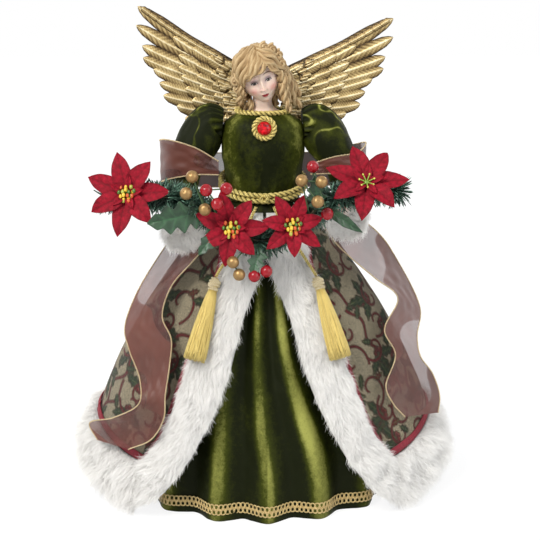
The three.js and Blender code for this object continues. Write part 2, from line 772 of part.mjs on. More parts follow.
function makeHair(head) {
  const columns = 14;
  const rows = 7;
  const thick = HAIR_THICKNESS;
  const surface = (theta, phi) => {
    const wave = 1 + 0.035 * Math.sin(11 * theta + 5 * phi);
    return point(
      wave * (HALF * HEAD_WIDTH + thick) * Math.sin(phi) * Math.sin(theta),
      -wave * (HALF * HEAD_DEPTH + thick) * Math.sin(phi) * Math.cos(theta),
      (HALF * HEAD_HEIGHT + thick) * Math.cos(phi),
    );
  };
  const ring = (phi) => Array.from({ length: columns }, (_, i) => surface((TURN * i) / columns, phi));
  const sections = Array.from({ length: rows - 1 }, (_, i) => ring((Math.PI * (i + 1)) / rows));
  let cap = solidOf(loft(sections, { startTip: surface(0, 0), endTip: surface(0, Math.PI) }));
  const windowWidth = 0.74 * HEAD_WIDTH;
  const opening = new THREE.SphereGeometry(1, 8, 6)
    .scale(HALF * windowWidth, HALF * HEAD_DEPTH, 0.62 * HEAD_HEIGHT)
    .translate(0, -0.62 * HEAD_DEPTH, -0.2 * HEAD_HEIGHT);
  const nape = new THREE.BoxGeometry(2 * HEAD_WIDTH, 2 * HEAD_DEPTH, HEAD_HEIGHT)
    .translate(0, 0, -0.93 * HEAD_HEIGHT);
  cap = cap.subtract(solidOf(opening)).subtract(solidOf(nape));
  const curls = CURL_PLACE_SHARES.map(([x, y, z, length]) => {
    const top = point(
      x * (HALF * HEAD_WIDTH + HALF * thick),
      -y * (HALF * HEAD_DEPTH + HALF * thick),
      z * (HALF * HEAD_HEIGHT + HALF * thick),
    );
    const end = top.clone().addScaledVector(UP, -length * CURL_LENGTH);
    const lumps = (share) => CURL_RADIUS * (1 + 0.16 * Math.cos(TURN * 3 * share)) * lerp(1, 0.7, share);
    return roundLoft(new THREE.LineCurve3(top, end), lumps, { sides: 5, steps: Math.ceil(5 * length) });
  });
  let solid = cap;
  for (const curl of curls) solid = solid.add(solidOf(curl));
  const hair = geometryOf(solid).applyMatrix4(headTurn);
  return fitted(hair, [head], SOFT_GAP);
}

// Wings: moulded feathers that fan out from the root, in three layers.
// Each row is a feather's tip, as shares of the wing's span and rise.
const FEATHER_TIP_SHARES = [
  [1, 1],
  [1.01, 0.78],
  [0.95, 0.54],
  [0.94, 0.4],
  [0.84, 0.27],
  [0.78, 0.11],
  [0.74, -0.04],
  [0.61, -0.16],
  [0.53, -0.31],
  [0.36, -0.4],
];
const COVERT_LAYERS = [
  { share: 0.62, count: 5, lift: 0.36 },
  { share: 0.36, count: 4, lift: 0.7 },
];

const FEATHER_WIDTH_SHARES = [[0, 0.85], [0.45, 1], [0.86, 0.92], [0.97, 0.5], [1, 0.2]];

function featherTip(share) {
  const place = share * (FEATHER_TIP_SHARES.length - 1);
  const row = Math.min(Math.floor(place), FEATHER_TIP_SHARES.length - 2);
  const [near, far] = [FEATHER_TIP_SHARES[row], FEATHER_TIP_SHARES[row + 1]];
  return [0, 1].map((column) => lerp(near[column], far[column], place - row));
}

function makeFeather(share, reach, lift, width) {
  const [tipSpan, tipRise] = featherTip(share);
  const start = point(0, 0, HALF * WING_ROOT_TALL * (1 - 2 * share));
  const tip = point(tipSpan * WING_SPAN, 0, tipRise * WING_RISE);
  const end = start.clone().lerp(tip, reach);
  const bend = start.clone().lerp(end, HALF);
  bend.z -= 0.1 * reach * WING_RISE;
  const raise = FRONT.clone().multiplyScalar(lift * FEATHER_THICKNESS);
  const curve = new THREE.QuadraticBezierCurve3(start.add(raise), bend.add(raise), end.add(raise));
  const halfWidth = (along) => HALF * width * readTable(FEATHER_WIDTH_SHARES, along);
  const shares = reach < 1 ? [0, 0.85] : [0, 0.45, 0.86, 0.97];
  return blade({ curve, facing: FRONT, halfWidth, thickness: FEATHER_THICKNESS, shares });
}

function wingShape() {
  const feathers = FEATHER_TIP_SHARES.map((_, i) => (
    makeFeather(i / (FEATHER_TIP_SHARES.length - 1), 1, 0, FEATHER_WIDTH)
  ));
  for (const { share, count, lift } of COVERT_LAYERS) {
    for (let i = 0; i < count; i++) {
      feathers.push(makeFeather((i + HALF) / count, share, lift, 1.3 * FEATHER_WIDTH));
    }
  }
  const pad = new THREE.CylinderGeometry(WING_PAD_RADIUS, WING_PAD_RADIUS, FEATHER_THICKNESS, 10)
    .translate(-HALF * WING_PAD_RADIUS, 0, -2 * WING_PAD_RADIUS);
  return joined(...feathers, pad);
}

const bracketHeight = SHOULDER_HEIGHT - 0.36 * BRACKET_TALL;
const bodyBack = HALF * torsoAt(bracketHeight - HALF * BRACKET_TALL)[1];
const wingBack = bodyBack + BRACKET_THICKNESS + 2 * CLEARANCE;

function makeWing(name, shape) {
  const wing = shape.clone();
  if (name === 'left') {
    wing.scale(-1, 1, 1);
    const { array } = wing.index;
    for (let i = 0; i < array.length; i += 3) [array[i], array[i + 1]] = [array[i + 1], array[i]];
  }
  wing.computeBoundingBox();
  const back = wingBack - wing.boundingBox.min.y;
  wing.translate(SIDES[name] * WING_ROOT_OFFSET, back, WING_ROOT_HEIGHT - SHOULDER_HEIGHT);
  wing.rotateY(degToRad(WING_ROLL));
  return wing.translate(0, 0, SHOULDER_HEIGHT);
}

function makeBracket() {
  return new THREE.BoxGeometry(BRACKET_WIDTH, BRACKET_THICKNESS, BRACKET_TALL)
    .translate(0, bodyBack + CLEARANCE + HALF * BRACKET_THICKNESS, bracketHeight);
}

function screwPlaces() {
  return Object.entries(SIDES).map(([name, side]) => [
    name,
    point(side * (WING_ROOT_OFFSET - HALF * WING_PAD_RADIUS), 0, SHOULDER_HEIGHT - HALF * WING_PAD_RADIUS),
  ]);
}

function makeScrew(place, back) {
  const profile = [
    [0, -SCREW_LENGTH],
    [SCREW_RADIUS, -SCREW_LENGTH + SCREW_RADIUS],
    [SCREW_RADIUS, 0],
    [SCREW_HEAD_RADIUS, 0],
    [SCREW_HEAD_RADIUS, HALF * SCREW_HEAD_LENGTH],
    [0, SCREW_HEAD_LENGTH],
  ];
  return new THREE.LatheGeometry(profile.map(([r, y]) => new THREE.Vector2(r, y)), 8)
    .translate(place.x, back + CLEARANCE, place.z);
}

// Gold cords, brooch and tassels

// The belt is one cord wound twice, so its section is two rounds, one on the
// other, pressed together where they touch.
const BELT_SECTION_SHARES = [
  [0, -1.85], [0.87, -1.35], [0.87, -0.5], [0.55, 0], [0.87, 0.5], [0.87, 1.35],
  [0, 1.85], [-0.87, 1.35], [-0.87, 0.5], [-0.55, 0], [-0.87, -0.5], [-0.87, -1.35],
];

function makeBelt() {
  const out = CORD_RADIUS + TRIM_GAP;
  const middleHeight = WAIST_HEIGHT + 1.9 * CORD_RADIUS;
  const steps = 16;
  const band = loft(Array.from({ length: steps }, (_, i) => {
    const angle = (TURN * i) / steps;
    const level = middleHeight + BELT_RISE * (HALF - HALF * Math.cos(angle));
    const [width, depth] = torsoAt(level);
    return BELT_SECTION_SHARES.map(([far, up]) => (
      onOval(width, depth, angle, out + far * CORD_RADIUS, level + up * CORD_RADIUS)
    ));
  }), { ring: true });
  const [width, depth] = torsoAt(middleHeight);
  const middle = onOval(width, depth, 0, out + CORD_RADIUS, middleHeight);
  const knot = new THREE.SphereGeometry(1.7 * CORD_RADIUS, 7, 5).translate(middle.x, middle.y, middle.z);
  return joined(band, knot);
}

function makeCollarCord() {
  const out = COLLAR_CORD_RADIUS + SOFT_GAP;
  const loop = Array.from({ length: 16 }, (_, i) => {
    const angle = (TURN * i) / 16;
    const drop = HALF * COLLAR_CORD_RADIUS * (HALF + HALF * Math.cos(angle));
    return onOval(NECKLINE_WIDTH, NECKLINE_DEPTH, angle, out, NECK_HEIGHT + CLOTH - drop);
  });
  return cordRing(smoothCurve(loop, true), COLLAR_CORD_RADIUS, 5, 18);
}

const broochMiddle = () => {
  const height = SHOULDER_HEIGHT;
  const [width, depth] = torsoAt(height);
  return onOval(width, depth, 0, COLLAR_CORD_RADIUS + CLEARANCE + SOFT_GAP, height);
};

function makeBroochCord() {
  const ring = BROOCH_RADIUS - COLLAR_CORD_RADIUS;
  const middle = broochMiddle();
  return new THREE.TorusGeometry(ring, COLLAR_CORD_RADIUS, 5, 14)
    .rotateX(degToRad(90))
    .translate(middle.x, middle.y, middle.z);
}

function makeGem() {
  const middle = broochMiddle();
  const back = HALF * COLLAR_CORD_RADIUS;
  const profile = [
    [0, -back],
    [GEM_RADIUS, -back],
    [GEM_RADIUS, back],
    [0.6 * GEM_RADIUS, 2 * back],
    [0, 2 * back],
  ];
  return new THREE.LatheGeometry(profile.map(([r, y]) => new THREE.Vector2(r, y)), 10)
    .rotateZ(degToRad(180))
    .translate(middle.x, middle.y, middle.z);
}

// Each tassel hangs on its own cord from the belt, over the fur. Places are
// an angle in degrees, a share of the waist's height and one of the fur's
// thickness.
const TASSEL_CORD_SHARES = [[9, 1.0, 1.1], [14, 0.95, 1.1], [21, 0.88, 1.1], [26, 0.81, 1.1]];
const TASSEL_ANGLE = 26;
const TASSEL_TOP_SHARE = 0.79;

function overFur(side, angle, share, thicknesses, radius) {
  const out = CLOTH + SOFT_GAP + thicknesses * FUR_THICKNESS + radius;
  return coatPoint(side * degToRad(angle), share * WAIST_HEIGHT, out);
}

function tasselFrame(name) {
  const side = SIDES[name];
  const top = overFur(side, TASSEL_ANGLE, TASSEL_TOP_SHARE, 1.1, TASSEL_HEAD_RADIUS);
  const hang = TASSEL_HEAD_LENGTH + TASSEL_SKIRT_LENGTH;
  const share = TASSEL_TOP_SHARE - (0.85 * hang) / WAIST_HEIGHT;
  const low = overFur(side, TASSEL_ANGLE, share, 1.1, TASSEL_SKIRT_RADIUS);
  return { top, along: low.sub(top).normalize() };
}

function alongTassel(geometry, name) {
  const { top, along } = tasselFrame(name);
  const turn = new THREE.Quaternion().setFromUnitVectors(point(0, -1, 0), along);
  return geometry.applyQuaternion(turn).translate(top.x, top.y, top.z);
}

function makeTasselCord(name) {
  const side = SIDES[name];
  const { top } = tasselFrame(name);
  const points = TASSEL_CORD_SHARES.map(([angle, share, thicknesses]) => (
    overFur(side, angle, share, thicknesses, TASSEL_CORD_RADIUS)
  ));
  const end = top.clone().addScaledVector(UP, CLEARANCE);
  return tube(smoothCurve([...points, end]), TASSEL_CORD_RADIUS, 8, 12);
}

const TASSEL_HEAD_SHARES = [
  [0, 0], [0.55, 0.04], [0.95, 0.3], [1, 0.55], [0.8, 0.85], [0.95, 1], [0, 1],
];

function makeTasselHead(name) {
  const radius = TASSEL_HEAD_RADIUS;
  const points = TASSEL_HEAD_SHARES.map(([r, down]) => (
    new THREE.Vector2(r * radius, -down * TASSEL_HEAD_LENGTH)
  ));
  return alongTassel(new THREE.LatheGeometry(points.reverse(), 10), name);
}

const TASSEL_SKIRT_SHARES = [[0.62, 0], [0.8, 0.3], [0.95, 0.75], [1, 1]];

function makeTasselSkirt(name) {
  const strands = 10;
  const loop = (radius, down) => Array.from({ length: 2 * strands }, (_, i) => {
    const angle = (TURN * i) / (2 * strands);
    const groove = i % 2 ? 0.82 : 1;
    return point(radius * groove * Math.cos(angle), -down, radius * groove * Math.sin(angle));
  });
  const start = TASSEL_HEAD_LENGTH + CLEARANCE;
  const sections = TASSEL_SKIRT_SHARES.map(([radius, down]) => (
    loop(radius * TASSEL_SKIRT_RADIUS, start + down * TASSEL_SKIRT_LENGTH)
  ));
  return alongTassel(loft(sections), name);
}

// Ribbon stole: over both arms and behind the back, with a tail each side.
// A section is two edges, each a place on the coat: an angle in degrees, a
// share of the waist's height and a share of the ribbon's stand-off.
const LEFT_TAIL_SHARES = [
  [-36, 0.97, 1.25, -66, 0.99, 1.15],
  [-38, 0.87, 1.0, -70, 0.84, 1.0],
  [-48, 0.75, 0.9, -68, 0.7, 1.0],
  [-46, 0.66, 0.85, -63, 0.6, 1.0],
  [-37, 0.6, 0.85, -56, 0.54, 0.9],
  [-35, 0.52, 0.75, -46, 0.46, 0.8],
  [-34, 0.43, 0.7, -42, 0.4, 0.95],
  [-33, 0.36, 0.65, -52, 0.33, 0.9],
  [-36, 0.29, 0.65, -66, 0.27, 0.75],
  [-45, 0.235, 0.65, -60, 0.23, 0.7],
];
const RIGHT_TAIL_SHARES = [
  [38, 0.97, 1.25, 66, 1.0, 1.35],
  [44, 0.88, 1.1, 76, 0.9, 1.75],
  [60, 0.76, 1.0, 88, 0.79, 1.6],
  [70, 0.68, 1.0, 84, 0.62, 1.3],
  [50, 0.6, 0.9, 68, 0.55, 1.0],
  [52, 0.52, 0.8, 62, 0.5, 1.1],
  [42, 0.43, 0.7, 68, 0.42, 0.95],
  [44, 0.37, 0.65, 69, 0.34, 0.85],
  [48, 0.32, 0.65, 66, 0.29, 0.75],
];

// The stole's own plan, in shares of the elbows' span and reach behind, with
// the heights of its two edges in shares of the elbow's height.
const STOLE_SHARES = [
  [-0.28, -1.2, 1.0, 1.04],
  [-0.42, -1.16, 1.0, 1.08],
  [-0.575, -0.92, 0.985, 1.1],
  [-0.645, -0.25, 0.96, 1.09],
  [-0.56, 0.55, 0.94, 1.06],
  [-0.33, 1.16, 0.92, 1.03],
  [0, 1.36, 0.92, 1.03],
  [0.33, 1.16, 0.92, 1.03],
  [0.56, 0.55, 0.94, 1.06],
  [0.645, -0.25, 0.96, 1.08],
  [0.575, -0.92, 0.985, 1.06],
  [0.42, -1.16, 1.0, 1.05],
  [0.28, -1.2, 1.0, 1.03],
];

// A cloth strip through pairs of edge points, thickened along its facing.
function strip(pairs, thickness, steps) {
  const edges = [0, 1].map((edge) => smoothCurve(pairs.map((pair) => pair[edge])));
  return loft(Array.from({ length: steps + 1 }, (_, i) => {
    const share = i / steps;
    const [a, b] = edges.map((edge) => edge.getPoint(share));
    const along = edges[0].getTangent(share).add(edges[1].getTangent(share)).normalize();
    const facing = along.cross(b.clone().sub(a)).normalize().multiplyScalar(HALF * thickness);
    const middle = a.clone().lerp(b, HALF);
    return [a, middle, b].map((p) => p.clone().add(facing))
      .concat([b, middle, a].map((p) => p.clone().sub(facing)));
  }));
}

function makeTail(shares) {
  const place = (angle, share, stand) => (
    coatPoint(degToRad(angle), share * WAIST_HEIGHT, CLOTH + SOFT_GAP + stand * RIBBON_STAND)
  );
  const pairs = shares.map(([angleA, shareA, standA, angleB, shareB, standB]) => [
    place(angleA, shareA, standA),
    place(angleB, shareB, standB),
  ]);
  return strip(pairs, RIBBON_THICKNESS, 18);
}

function makeStole() {
  const depth = HALF * CHEST_DEPTH + RIBBON_THICKNESS;
  const pairs = STOLE_SHARES.map(([x, y, low, high]) => {
    const plan = [x * ELBOW_SPAN, y * depth];
    return [point(...plan, low * ELBOW_HEIGHT), point(...plan, high * ELBOW_HEIGHT)];
  });
  return strip(pairs, RIBBON_THICKNESS, 20);
}

// Garland: a wire core, bristling with needles, that both hands hold. Core
// places are shares of the garland's span and reach and the waist's height.
const GARLAND_SHARES = [
  [-0.542, 0.78, 1.05],
  [-0.4, 0.88, 1.065],
  [-0.27, 0.94, 1.05],
  [-0.145, 0.985, 0.985],
  [-0.02, 1, 0.925],
  [0.1, 0.985, 0.98],
  [0.212, 0.94, 1.05],
  [0.335, 0.89, 1.085],
  [0.449, 0.8, 1.07],
];
const garlandPlace = (x, y, z) => point(x * GARLAND_SPAN, -y * GARLAND_REACH, z * WAIST_HEIGHT);
const garlandCurve = smoothCurve(GARLAND_SHARES.map((row) => garlandPlace(...row)));
const CORE_RINGS = 94;
const CORE_SIDES = 5;
const NEEDLE_STRIDE = 2;
const GRIP_SHARES = { left: 0.28, right: 0.78 };

// Flowers: share along the core, facing, size and turn in degrees.
const FLOWERS = {
  far_left: { share: 0.075, facing: [-0.15, -0.9, 0.35], sizeShare: 1.08, turn: -15 },
  left: { share: 0.405, facing: [-0.1, -0.96, 0.12], sizeShare: 0.95, turn: -16 },
  right: { share: 0.6, facing: [0.12, -0.95, 0.3], sizeShare: 0.85, turn: 24 },
  far_right: { share: 0.87, facing: [0, -0.8, 0.6], sizeShare: 1.06, turn: -16 },
};
const PETALS = 7;
const PETAL_WIDTH_SHARES = [[0, 0.3], [0.2, 0.72], [0.45, 1], [0.7, 0.78], [0.88, 0.36], [1, 0.02]];

// A frame that stands on the core's skin and looks along a facing.
function coreFrame(share, facing, distance) {
  const out = point(...facing).normalize();
  const foot = garlandCurve.getPoint(share).addScaledVector(out, GARLAND_RADIUS + CLEARANCE);
  const turn = new THREE.Quaternion().setFromUnitVectors(FRONT, out);
  return new THREE.Matrix4().compose(foot.addScaledVector(out, distance), turn, point(1, 1, 1));
}

function makeFlower({ share, facing, sizeShare, turn }, room = 0) {
  const length = sizeShare * PETAL_LENGTH;
  const width = sizeShare * PETAL_WIDTH;
  const sections = [0, 0.22, 0.45, 0.75];
  const petals = Array.from({ length: PETALS }, (_, i) => {
    const angle = (TURN * i) / PETALS + degToRad(turn);
    const out = point(Math.sin(angle), 0, Math.cos(angle));
    const liftShare = i % 2 ? 0.3 : 0.14;
    const reach = (i % 2 ? 0.9 : 1) * length;
    const curve = new THREE.QuadraticBezierCurve3(
      point(0, 0, 0),
      out.clone().multiplyScalar(HALF * reach).addScaledVector(FRONT, liftShare * reach),
      out.clone().multiplyScalar(reach).addScaledVector(FRONT, 0.4 * liftShare * reach),
    );
    const halfWidth = (along) => HALF * width * readTable(PETAL_WIDTH_SHARES, along);
    const blank = { curve, facing: FRONT, halfWidth, thickness: PETAL_THICKNESS, room };
    return blade({ ...blank, fold: 0.18, shares: sections });
  });
  const calyx = new THREE.CylinderGeometry(CALYX_RADIUS + room, HALF * CALYX_RADIUS + room, CALYX_LENGTH, 6)
    .rotateX(degToRad(90))
    .translate(0, HALF * CALYX_LENGTH - PETAL_THICKNESS, 0);
  const frame = coreFrame(share, facing, CALYX_LENGTH - PETAL_THICKNESS);
  return joined(...petals, calyx).applyMatrix4(frame);
}

// A cluster of beads, lumped into one body.
function makeStamens({ share, facing }) {
  const lumps = 5;
  const loop = (radius, out) => Array.from({ length: 2 * lumps }, (_, i) => {
    const angle = (TURN * i) / (2 * lumps);
    const size = radius * BEAD_RADIUS * (i % 2 ? 0.72 : 1);
    return point(size * Math.cos(angle), -out * BEAD_RADIUS, size * Math.sin(angle));
  });
  const cluster = loft(
    [loop(0.8, 0), loop(1.6, 0.7), loop(2.1, 1.5), loop(1.5, 2.4)],
    { startTip: point(0, 0, 0), endTip: point(0, -3 * BEAD_RADIUS, 0) },
  );
  const over = CALYX_LENGTH + HALF * PETAL_THICKNESS + CLEARANCE;
  return cluster.applyMatrix4(coreFrame(share, facing, over));
}

// Leaves: share along the core, direction, outline, and the share of the full
// length and width that a smaller leaf has.
const HOLLY_SHARES = [
  [0, 0.1], [0.1, 0.4], [0.2, 0.95], [0.28, 0.45], [0.42, 1],
  [0.52, 0.5], [0.66, 0.9], [0.76, 0.4], [0.86, 0.5], [1, 0.02],
];
const SLENDER_SHARES = [[0, 0.15], [0.3, 0.9], [0.6, 1], [0.85, 0.5], [1, 0.02]];
const LEAF_SHARES = {
  holly_leaf_left: { share: 0.31, along: [-1, -0.25, -0.15], lengthShare: 1, widthShare: 1 },
  holly_leaf_low: { share: 0.37, along: [-0.6, -0.35, -0.75], lengthShare: 0.7, widthShare: 0.56 },
  holly_leaf_middle: { share: 0.5, along: [-0.25, -0.35, -0.8], lengthShare: 0.61, widthShare: 0.63 },
  holly_leaf_right: { share: 0.7, along: [-0.1, -0.25, 0.95], lengthShare: 0.65, widthShare: 0.63 },
};
const LEAVES = Object.fromEntries(Object.entries(LEAF_SHARES).map(([name, leaf]) => [name, {
  ...leaf,
  length: leaf.lengthShare * LEAF_LENGTH,
  width: leaf.widthShare * LEAF_WIDTH,
  outline: HOLLY_SHARES,
}]));
LEAVES.slender_leaf = {
  share: 0.72,
  along: [0.8, -0.3, -0.5],
  length: SLENDER_LENGTH,
  width: SLENDER_WIDTH,
  outline: SLENDER_SHARES,
};

function makeLeaf({ share, along, length, width, outline }, room = 0) {
  const way = point(...along).normalize();
  const seat = GARLAND_RADIUS + SOFT_GAP + HALF * LEAF_THICKNESS;
  const foot = garlandCurve.getPoint(share).addScaledVector(FRONT, seat);
  const side = way.clone().cross(FRONT).normalize();
  const facing = side.clone().cross(way).normalize();
  if (facing.dot(FRONT) < 0) facing.negate();
  const reach = (distance, rise) => foot.clone()
    .addScaledVector(way, distance)
    .addScaledVector(facing, rise);
  const curve = new THREE.QuadraticBezierCurve3(
    reach(0, 0),
    reach(HALF * length, 0.16 * length),
    reach(length, 0.06 * length),
  );
  const halfWidth = (at) => HALF * width * readTable(outline, at);
  const shares = outline.slice(0, -1).map(([at]) => at);
  return blade({ curve, facing, halfWidth, thickness: LEAF_THICKNESS, fold: 0.15, shares, room });
}

// Berry picks: the share where the wire leaves the core, and each berry's
// place as shares of the garland's span and reach and the waist's height.
const BERRY_PICK_SHARES = {
  gold_berries_left: {
    share: 0.33,
    places: [[-0.245, 1.17, 1.14], [-0.265, 1.2, 1.09], [-0.205, 1.2, 1.04]],
  },
  red_berries_left: {
    share: 0.36,
    places: [[-0.2, 1.2, 1.1], [-0.135, 1.22, 1.105], [-0.165, 1.25, 1.06]],
  },
  gold_berries_middle: { share: 0.47, places: [[-0.115, 1.16, 0.87], [-0.095, 1.16, 0.83]] },
  red_berries_middle: { share: 0.52, places: [[-0.045, 1.16, 0.825], [-0.005, 1.16, 0.84]] },
  gold_berries_right: {
    share: 0.67,
    places: [[0.11, 1.16, 1.125], [0.175, 1.15, 1.12], [0.16, 1.26, 1.065]],
  },
  red_berries_right: { share: 0.69, places: [[0.15, 1.02, 1.16], [0.195, 1.15, 1.02]] },
};

// The first berry's wire leaves the core, and the others branch off it.
function makeBerries({ share, places }) {
  const foot = garlandCurve.getPoint(share).addScaledVector(FRONT, GARLAND_RADIUS + SOFT_GAP);
  const centres = places.map((row) => garlandPlace(...row));
  const parts = centres.map((centre, i) => {
    const start = i === 0 ? foot : centres[0];
    const bend = start.clone().lerp(centre, HALF).addScaledVector(FRONT, i === 0 ? BERRY_RADIUS : 0);
    const wire = tube(new THREE.QuadraticBezierCurve3(start, bend, centre), BERRY_WIRE_RADIUS, 4, 3);
    const berry = new THREE.SphereGeometry(BERRY_RADIUS, 6, 5).translate(centre.x, centre.y, centre.z);
    return [wire, berry];
  });
  return joined(...parts.flat());
}

// The core is a tube of small faces, and a needle is drawn out of a face.
// One that would cross another, or come near what hangs there, is left out.
function makeGarland(neighbours) {
  const frames = garlandCurve.computeFrenetFrames(CORE_RINGS, false);
  const points = [];
  for (let ring = 0; ring <= CORE_RINGS; ring++) {
    const centre = garlandCurve.getPoint(ring / CORE_RINGS);
    for (let side = 0; side < CORE_SIDES; side++) {
      const angle = (TURN * (side + HALF * (ring % 2))) / CORE_SIDES;
      points.push(centre.clone()
        .addScaledVector(frames.normals[ring], GARLAND_RADIUS * Math.cos(angle))
        .addScaledVector(frames.binormals[ring], GARLAND_RADIUS * Math.sin(angle)));
    }
  }
  const swelled = neighbours.map((neighbour) => neighbour.userData.room ?? grown(neighbour));
  const blocked = swelled.map((body) => ({ box: boxOf(body), solid: solidOf(body) }));
  const faces = [];
  const kept = [];
  const raise = (face, length, lean) => {
    const [a, b, c] = face.map((i) => points[i]);
    const way = b.clone().sub(a).cross(c.clone().sub(a)).normalize().add(lean).normalize();
    const foot = a.clone().add(b).add(c).multiplyScalar(1 / 3);
    const tip = foot.clone().addScaledVector(way, length);
    if (kept.some((needle) => segmentsNear(needle, { foot, tip }))) return false;
    const needle = closedBody([a, b, c, tip], [[0, 2, 1], [0, 1, 3], [1, 2, 3], [2, 0, 3]]);
    const near = blocked.filter(({ box }) => box.intersectsBox(boxOf(needle)));
    const solid = near.length > 0 ? solidOf(needle) : null;
    if (near.some((neighbour) => !solid.intersect(neighbour.solid).isEmpty())) return false;
    kept.push({ foot, tip });
    const apex = points.push(tip) - 1;
    faces.push([face[0], face[1], apex], [face[1], face[2], apex], [face[2], face[0], apex]);
    return true;
  };
  for (let ring = 0; ring < CORE_RINGS; ring++) {
    for (let side = 0; side < CORE_SIDES; side++) {
      const near = ring * CORE_SIDES;
      const next = (side + 1) % CORE_SIDES;
      const [a, b] = [near + side, near + next];
      const [c, d] = [near + CORE_SIDES + next, near + CORE_SIDES + side];
      const pair = ring % 2 ? [[a, b, c], [a, c, d]] : [[a, b, d], [b, c, d]];
      pair.forEach((face, i) => {
        const count = 2 * (ring * CORE_SIDES + side) + i;
        const length = NEEDLE_LENGTH * (0.82 + 0.18 * Math.sin(7 * count));
        const lean = frames.tangents[ring].clone().multiplyScalar(0.5 * Math.sin(3 * count));
        if (count % NEEDLE_STRIDE || !raise(face, length, lean)) faces.push(face);
      });
    }
  }
  const last = CORE_RINGS * CORE_SIDES;
  for (let side = 1; side < CORE_SIDES - 1; side++) {
    faces.push([0, side + 1, side], [last, last + side, last + side + 1]);
  }
  console.log(`garland needles: ${kept.length}`);
  return closedBody(points, faces);
}

// Whether two needles come nearer than their own thickness past the core.
function segmentsNear(one, other) {
  if (one.foot.distanceTo(other.foot) > 2 * NEEDLE_LENGTH) return false;
  const d1 = one.tip.clone().sub(one.foot);
  const d2 = other.tip.clone().sub(other.foot);
  const r = one.foot.clone().sub(other.foot);
  const [a, e, f, c, b] = [d1.dot(d1), d2.dot(d2), d2.dot(r), d1.dot(r), d1.dot(d2)];
  const det = a * e - b * b;
  const clamp = (value) => THREE.MathUtils.clamp(value, 0, 1);
  let s = det > 1e-9 ? clamp((b * f - c * e) / det) : 0;
  const t = clamp((b * s + f) / e);
  s = clamp((b * t - c) / a);
  const nearest = one.foot.clone().addScaledVector(d1, s);
  return nearest.distanceTo(other.foot.clone().addScaledVector(d2, t)) < NEEDLE_GAP;
}

// Materials

const material = (color, roughness, metalness = 0) => (
  () => new THREE.MeshStandardMaterial({ color, roughness, metalness })
);
const board = material(0xb08d5c, 0.9);
const wood = material(0xc9a36a, 0.7);
const velvet = material(0x3c4a12, 0.85);
const tapestry = material(0xb3aa8c, 0.95);
const burgundy = material(0x5a1420, 0.85);
const fur = material(0xf2efe8, 1);
const goldCord = material(0xc9a227, 0.45, 0.2);
const goldPaint = material(0xb8943c, 0.4, 0.6);
const steel = material(0x9a9a9a, 0.35, 0.9);
const bisque = material(0xe8cdb8, 0.45);
const blond = material(0xc9a05c, 0.5);
const ribbon = material(0x5b2a20, 0.6);
const pine = material(0x1f3a1c, 0.7);
const leafGreen = material(0x2d5a2a, 0.5);
const petalRed = material(0xa01420, 0.8);
const goldBead = material(0xd9a520, 0.3, 0.2);
const redBead = material(0x9c1018, 0.25);
const gemRed = material(0xc01428, 0.1);

// Assembly

const topper = new THREE.Group();
const made = {};

function add(name, geometry, finish) {
  geometry.computeBoundingBox();
  const middle = geometry.boundingBox.getCenter(new THREE.Vector3());
  const mesh = new THREE.Mesh(geometry.clone().translate(-middle.x, -middle.y, -middle.z), finish());
  mesh.name = name;
  mesh.position.copy(middle);
  topper.add(mesh);
  made[name] = geometry;
}

const all = (...names) => names.map((name) => made[name]);

add('base_cone', makeCone(), board);
const wingBlank = wingShape();
for (const name of Object.keys(SIDES)) made[`${name}_wing`] = makeWing(name, wingBlank);
const wingFar = Math.max(...Object.keys(SIDES).map((name) => {
  made[`${name}_wing`].computeBoundingBox();
  return made[`${name}_wing`].boundingBox.max.y;
}));
for (const [name, place] of screwPlaces()) add(`${name}_wing_screw`, makeScrew(place, wingFar), steel);
const screws = all('left_wing_screw', 'right_wing_screw');
for (const name of Object.keys(SIDES)) {
  add(`${name}_wing`, fitted(made[`${name}_wing`], screws), goldPaint);
}
add('wing_bracket', fitted(makeBracket(), screws), steel);
add('arm_wire', makeArmWire(), steel);
add('torso_core', fitted(makeTorso(), [...screws, made.arm_wire]), wood);
add('gown_bodice', fitted(makeBodice(), [...screws, made.arm_wire]), velvet);
add('gown_skirt', makeSkirt(), velvet);
add('hem_braid', makeHemBraid(), goldCord);
add('coat', makeCoat(), tapestry);
add('left_front_fur', makeFrontFur(-1), fur);
add('right_front_fur', makeFrontFur(1), fur);
add('hem_fur', makeHemFur(), fur);
add('coat_edging', makeEdging(), burgundy);

for (const name of Object.keys(SIDES)) {
  const sleeve = fitted(makeSleeve(name), all('gown_bodice', 'torso_core'), SOFT_GAP);
  add(`${name}_sleeve`, fitted(sleeve, [made.arm_wire]), velvet);
  add(`${name}_cuff`, fitted(makeCuff(name), all(`${name}_sleeve`)), fur);
  const grip = garlandCurve.getPoint(GRIP_SHARES[name]);
  const core = tube(garlandCurve, GARLAND_RADIUS, 6, 36);
  const held = all('arm_wire', `${name}_sleeve`, `${name}_cuff`);
  const hand = fitted(makeHand(name, grip), [core, ...held]);
  add(`${name}_hand`, hand, bisque);
}

add('head', makeHead(), bisque);
add('hair', fitted(makeHair(made.head), all('left_sleeve', 'right_sleeve', 'gown_bodice')), blond);
add('belt_cord', makeBelt(), goldCord);
add('collar_cord', fitted(makeCollarCord(), all('gown_bodice', 'head', 'hair')), goldCord);
add('brooch_gem', fitted(makeGem(), all('gown_bodice')), gemRed);
add('brooch_cord', fitted(makeBroochCord(), all('gown_bodice', 'collar_cord', 'brooch_gem')), goldCord);
for (const name of Object.keys(SIDES)) {
  add(`${name}_tassel_head`, makeTasselHead(name), goldCord);
  add(`${name}_tassel_skirt`, makeTasselSkirt(name), goldCord);
  add(`${name}_tassel_cord`, fitted(makeTasselCord(name), all('belt_cord', `${name}_tassel_head`)), goldCord);
}

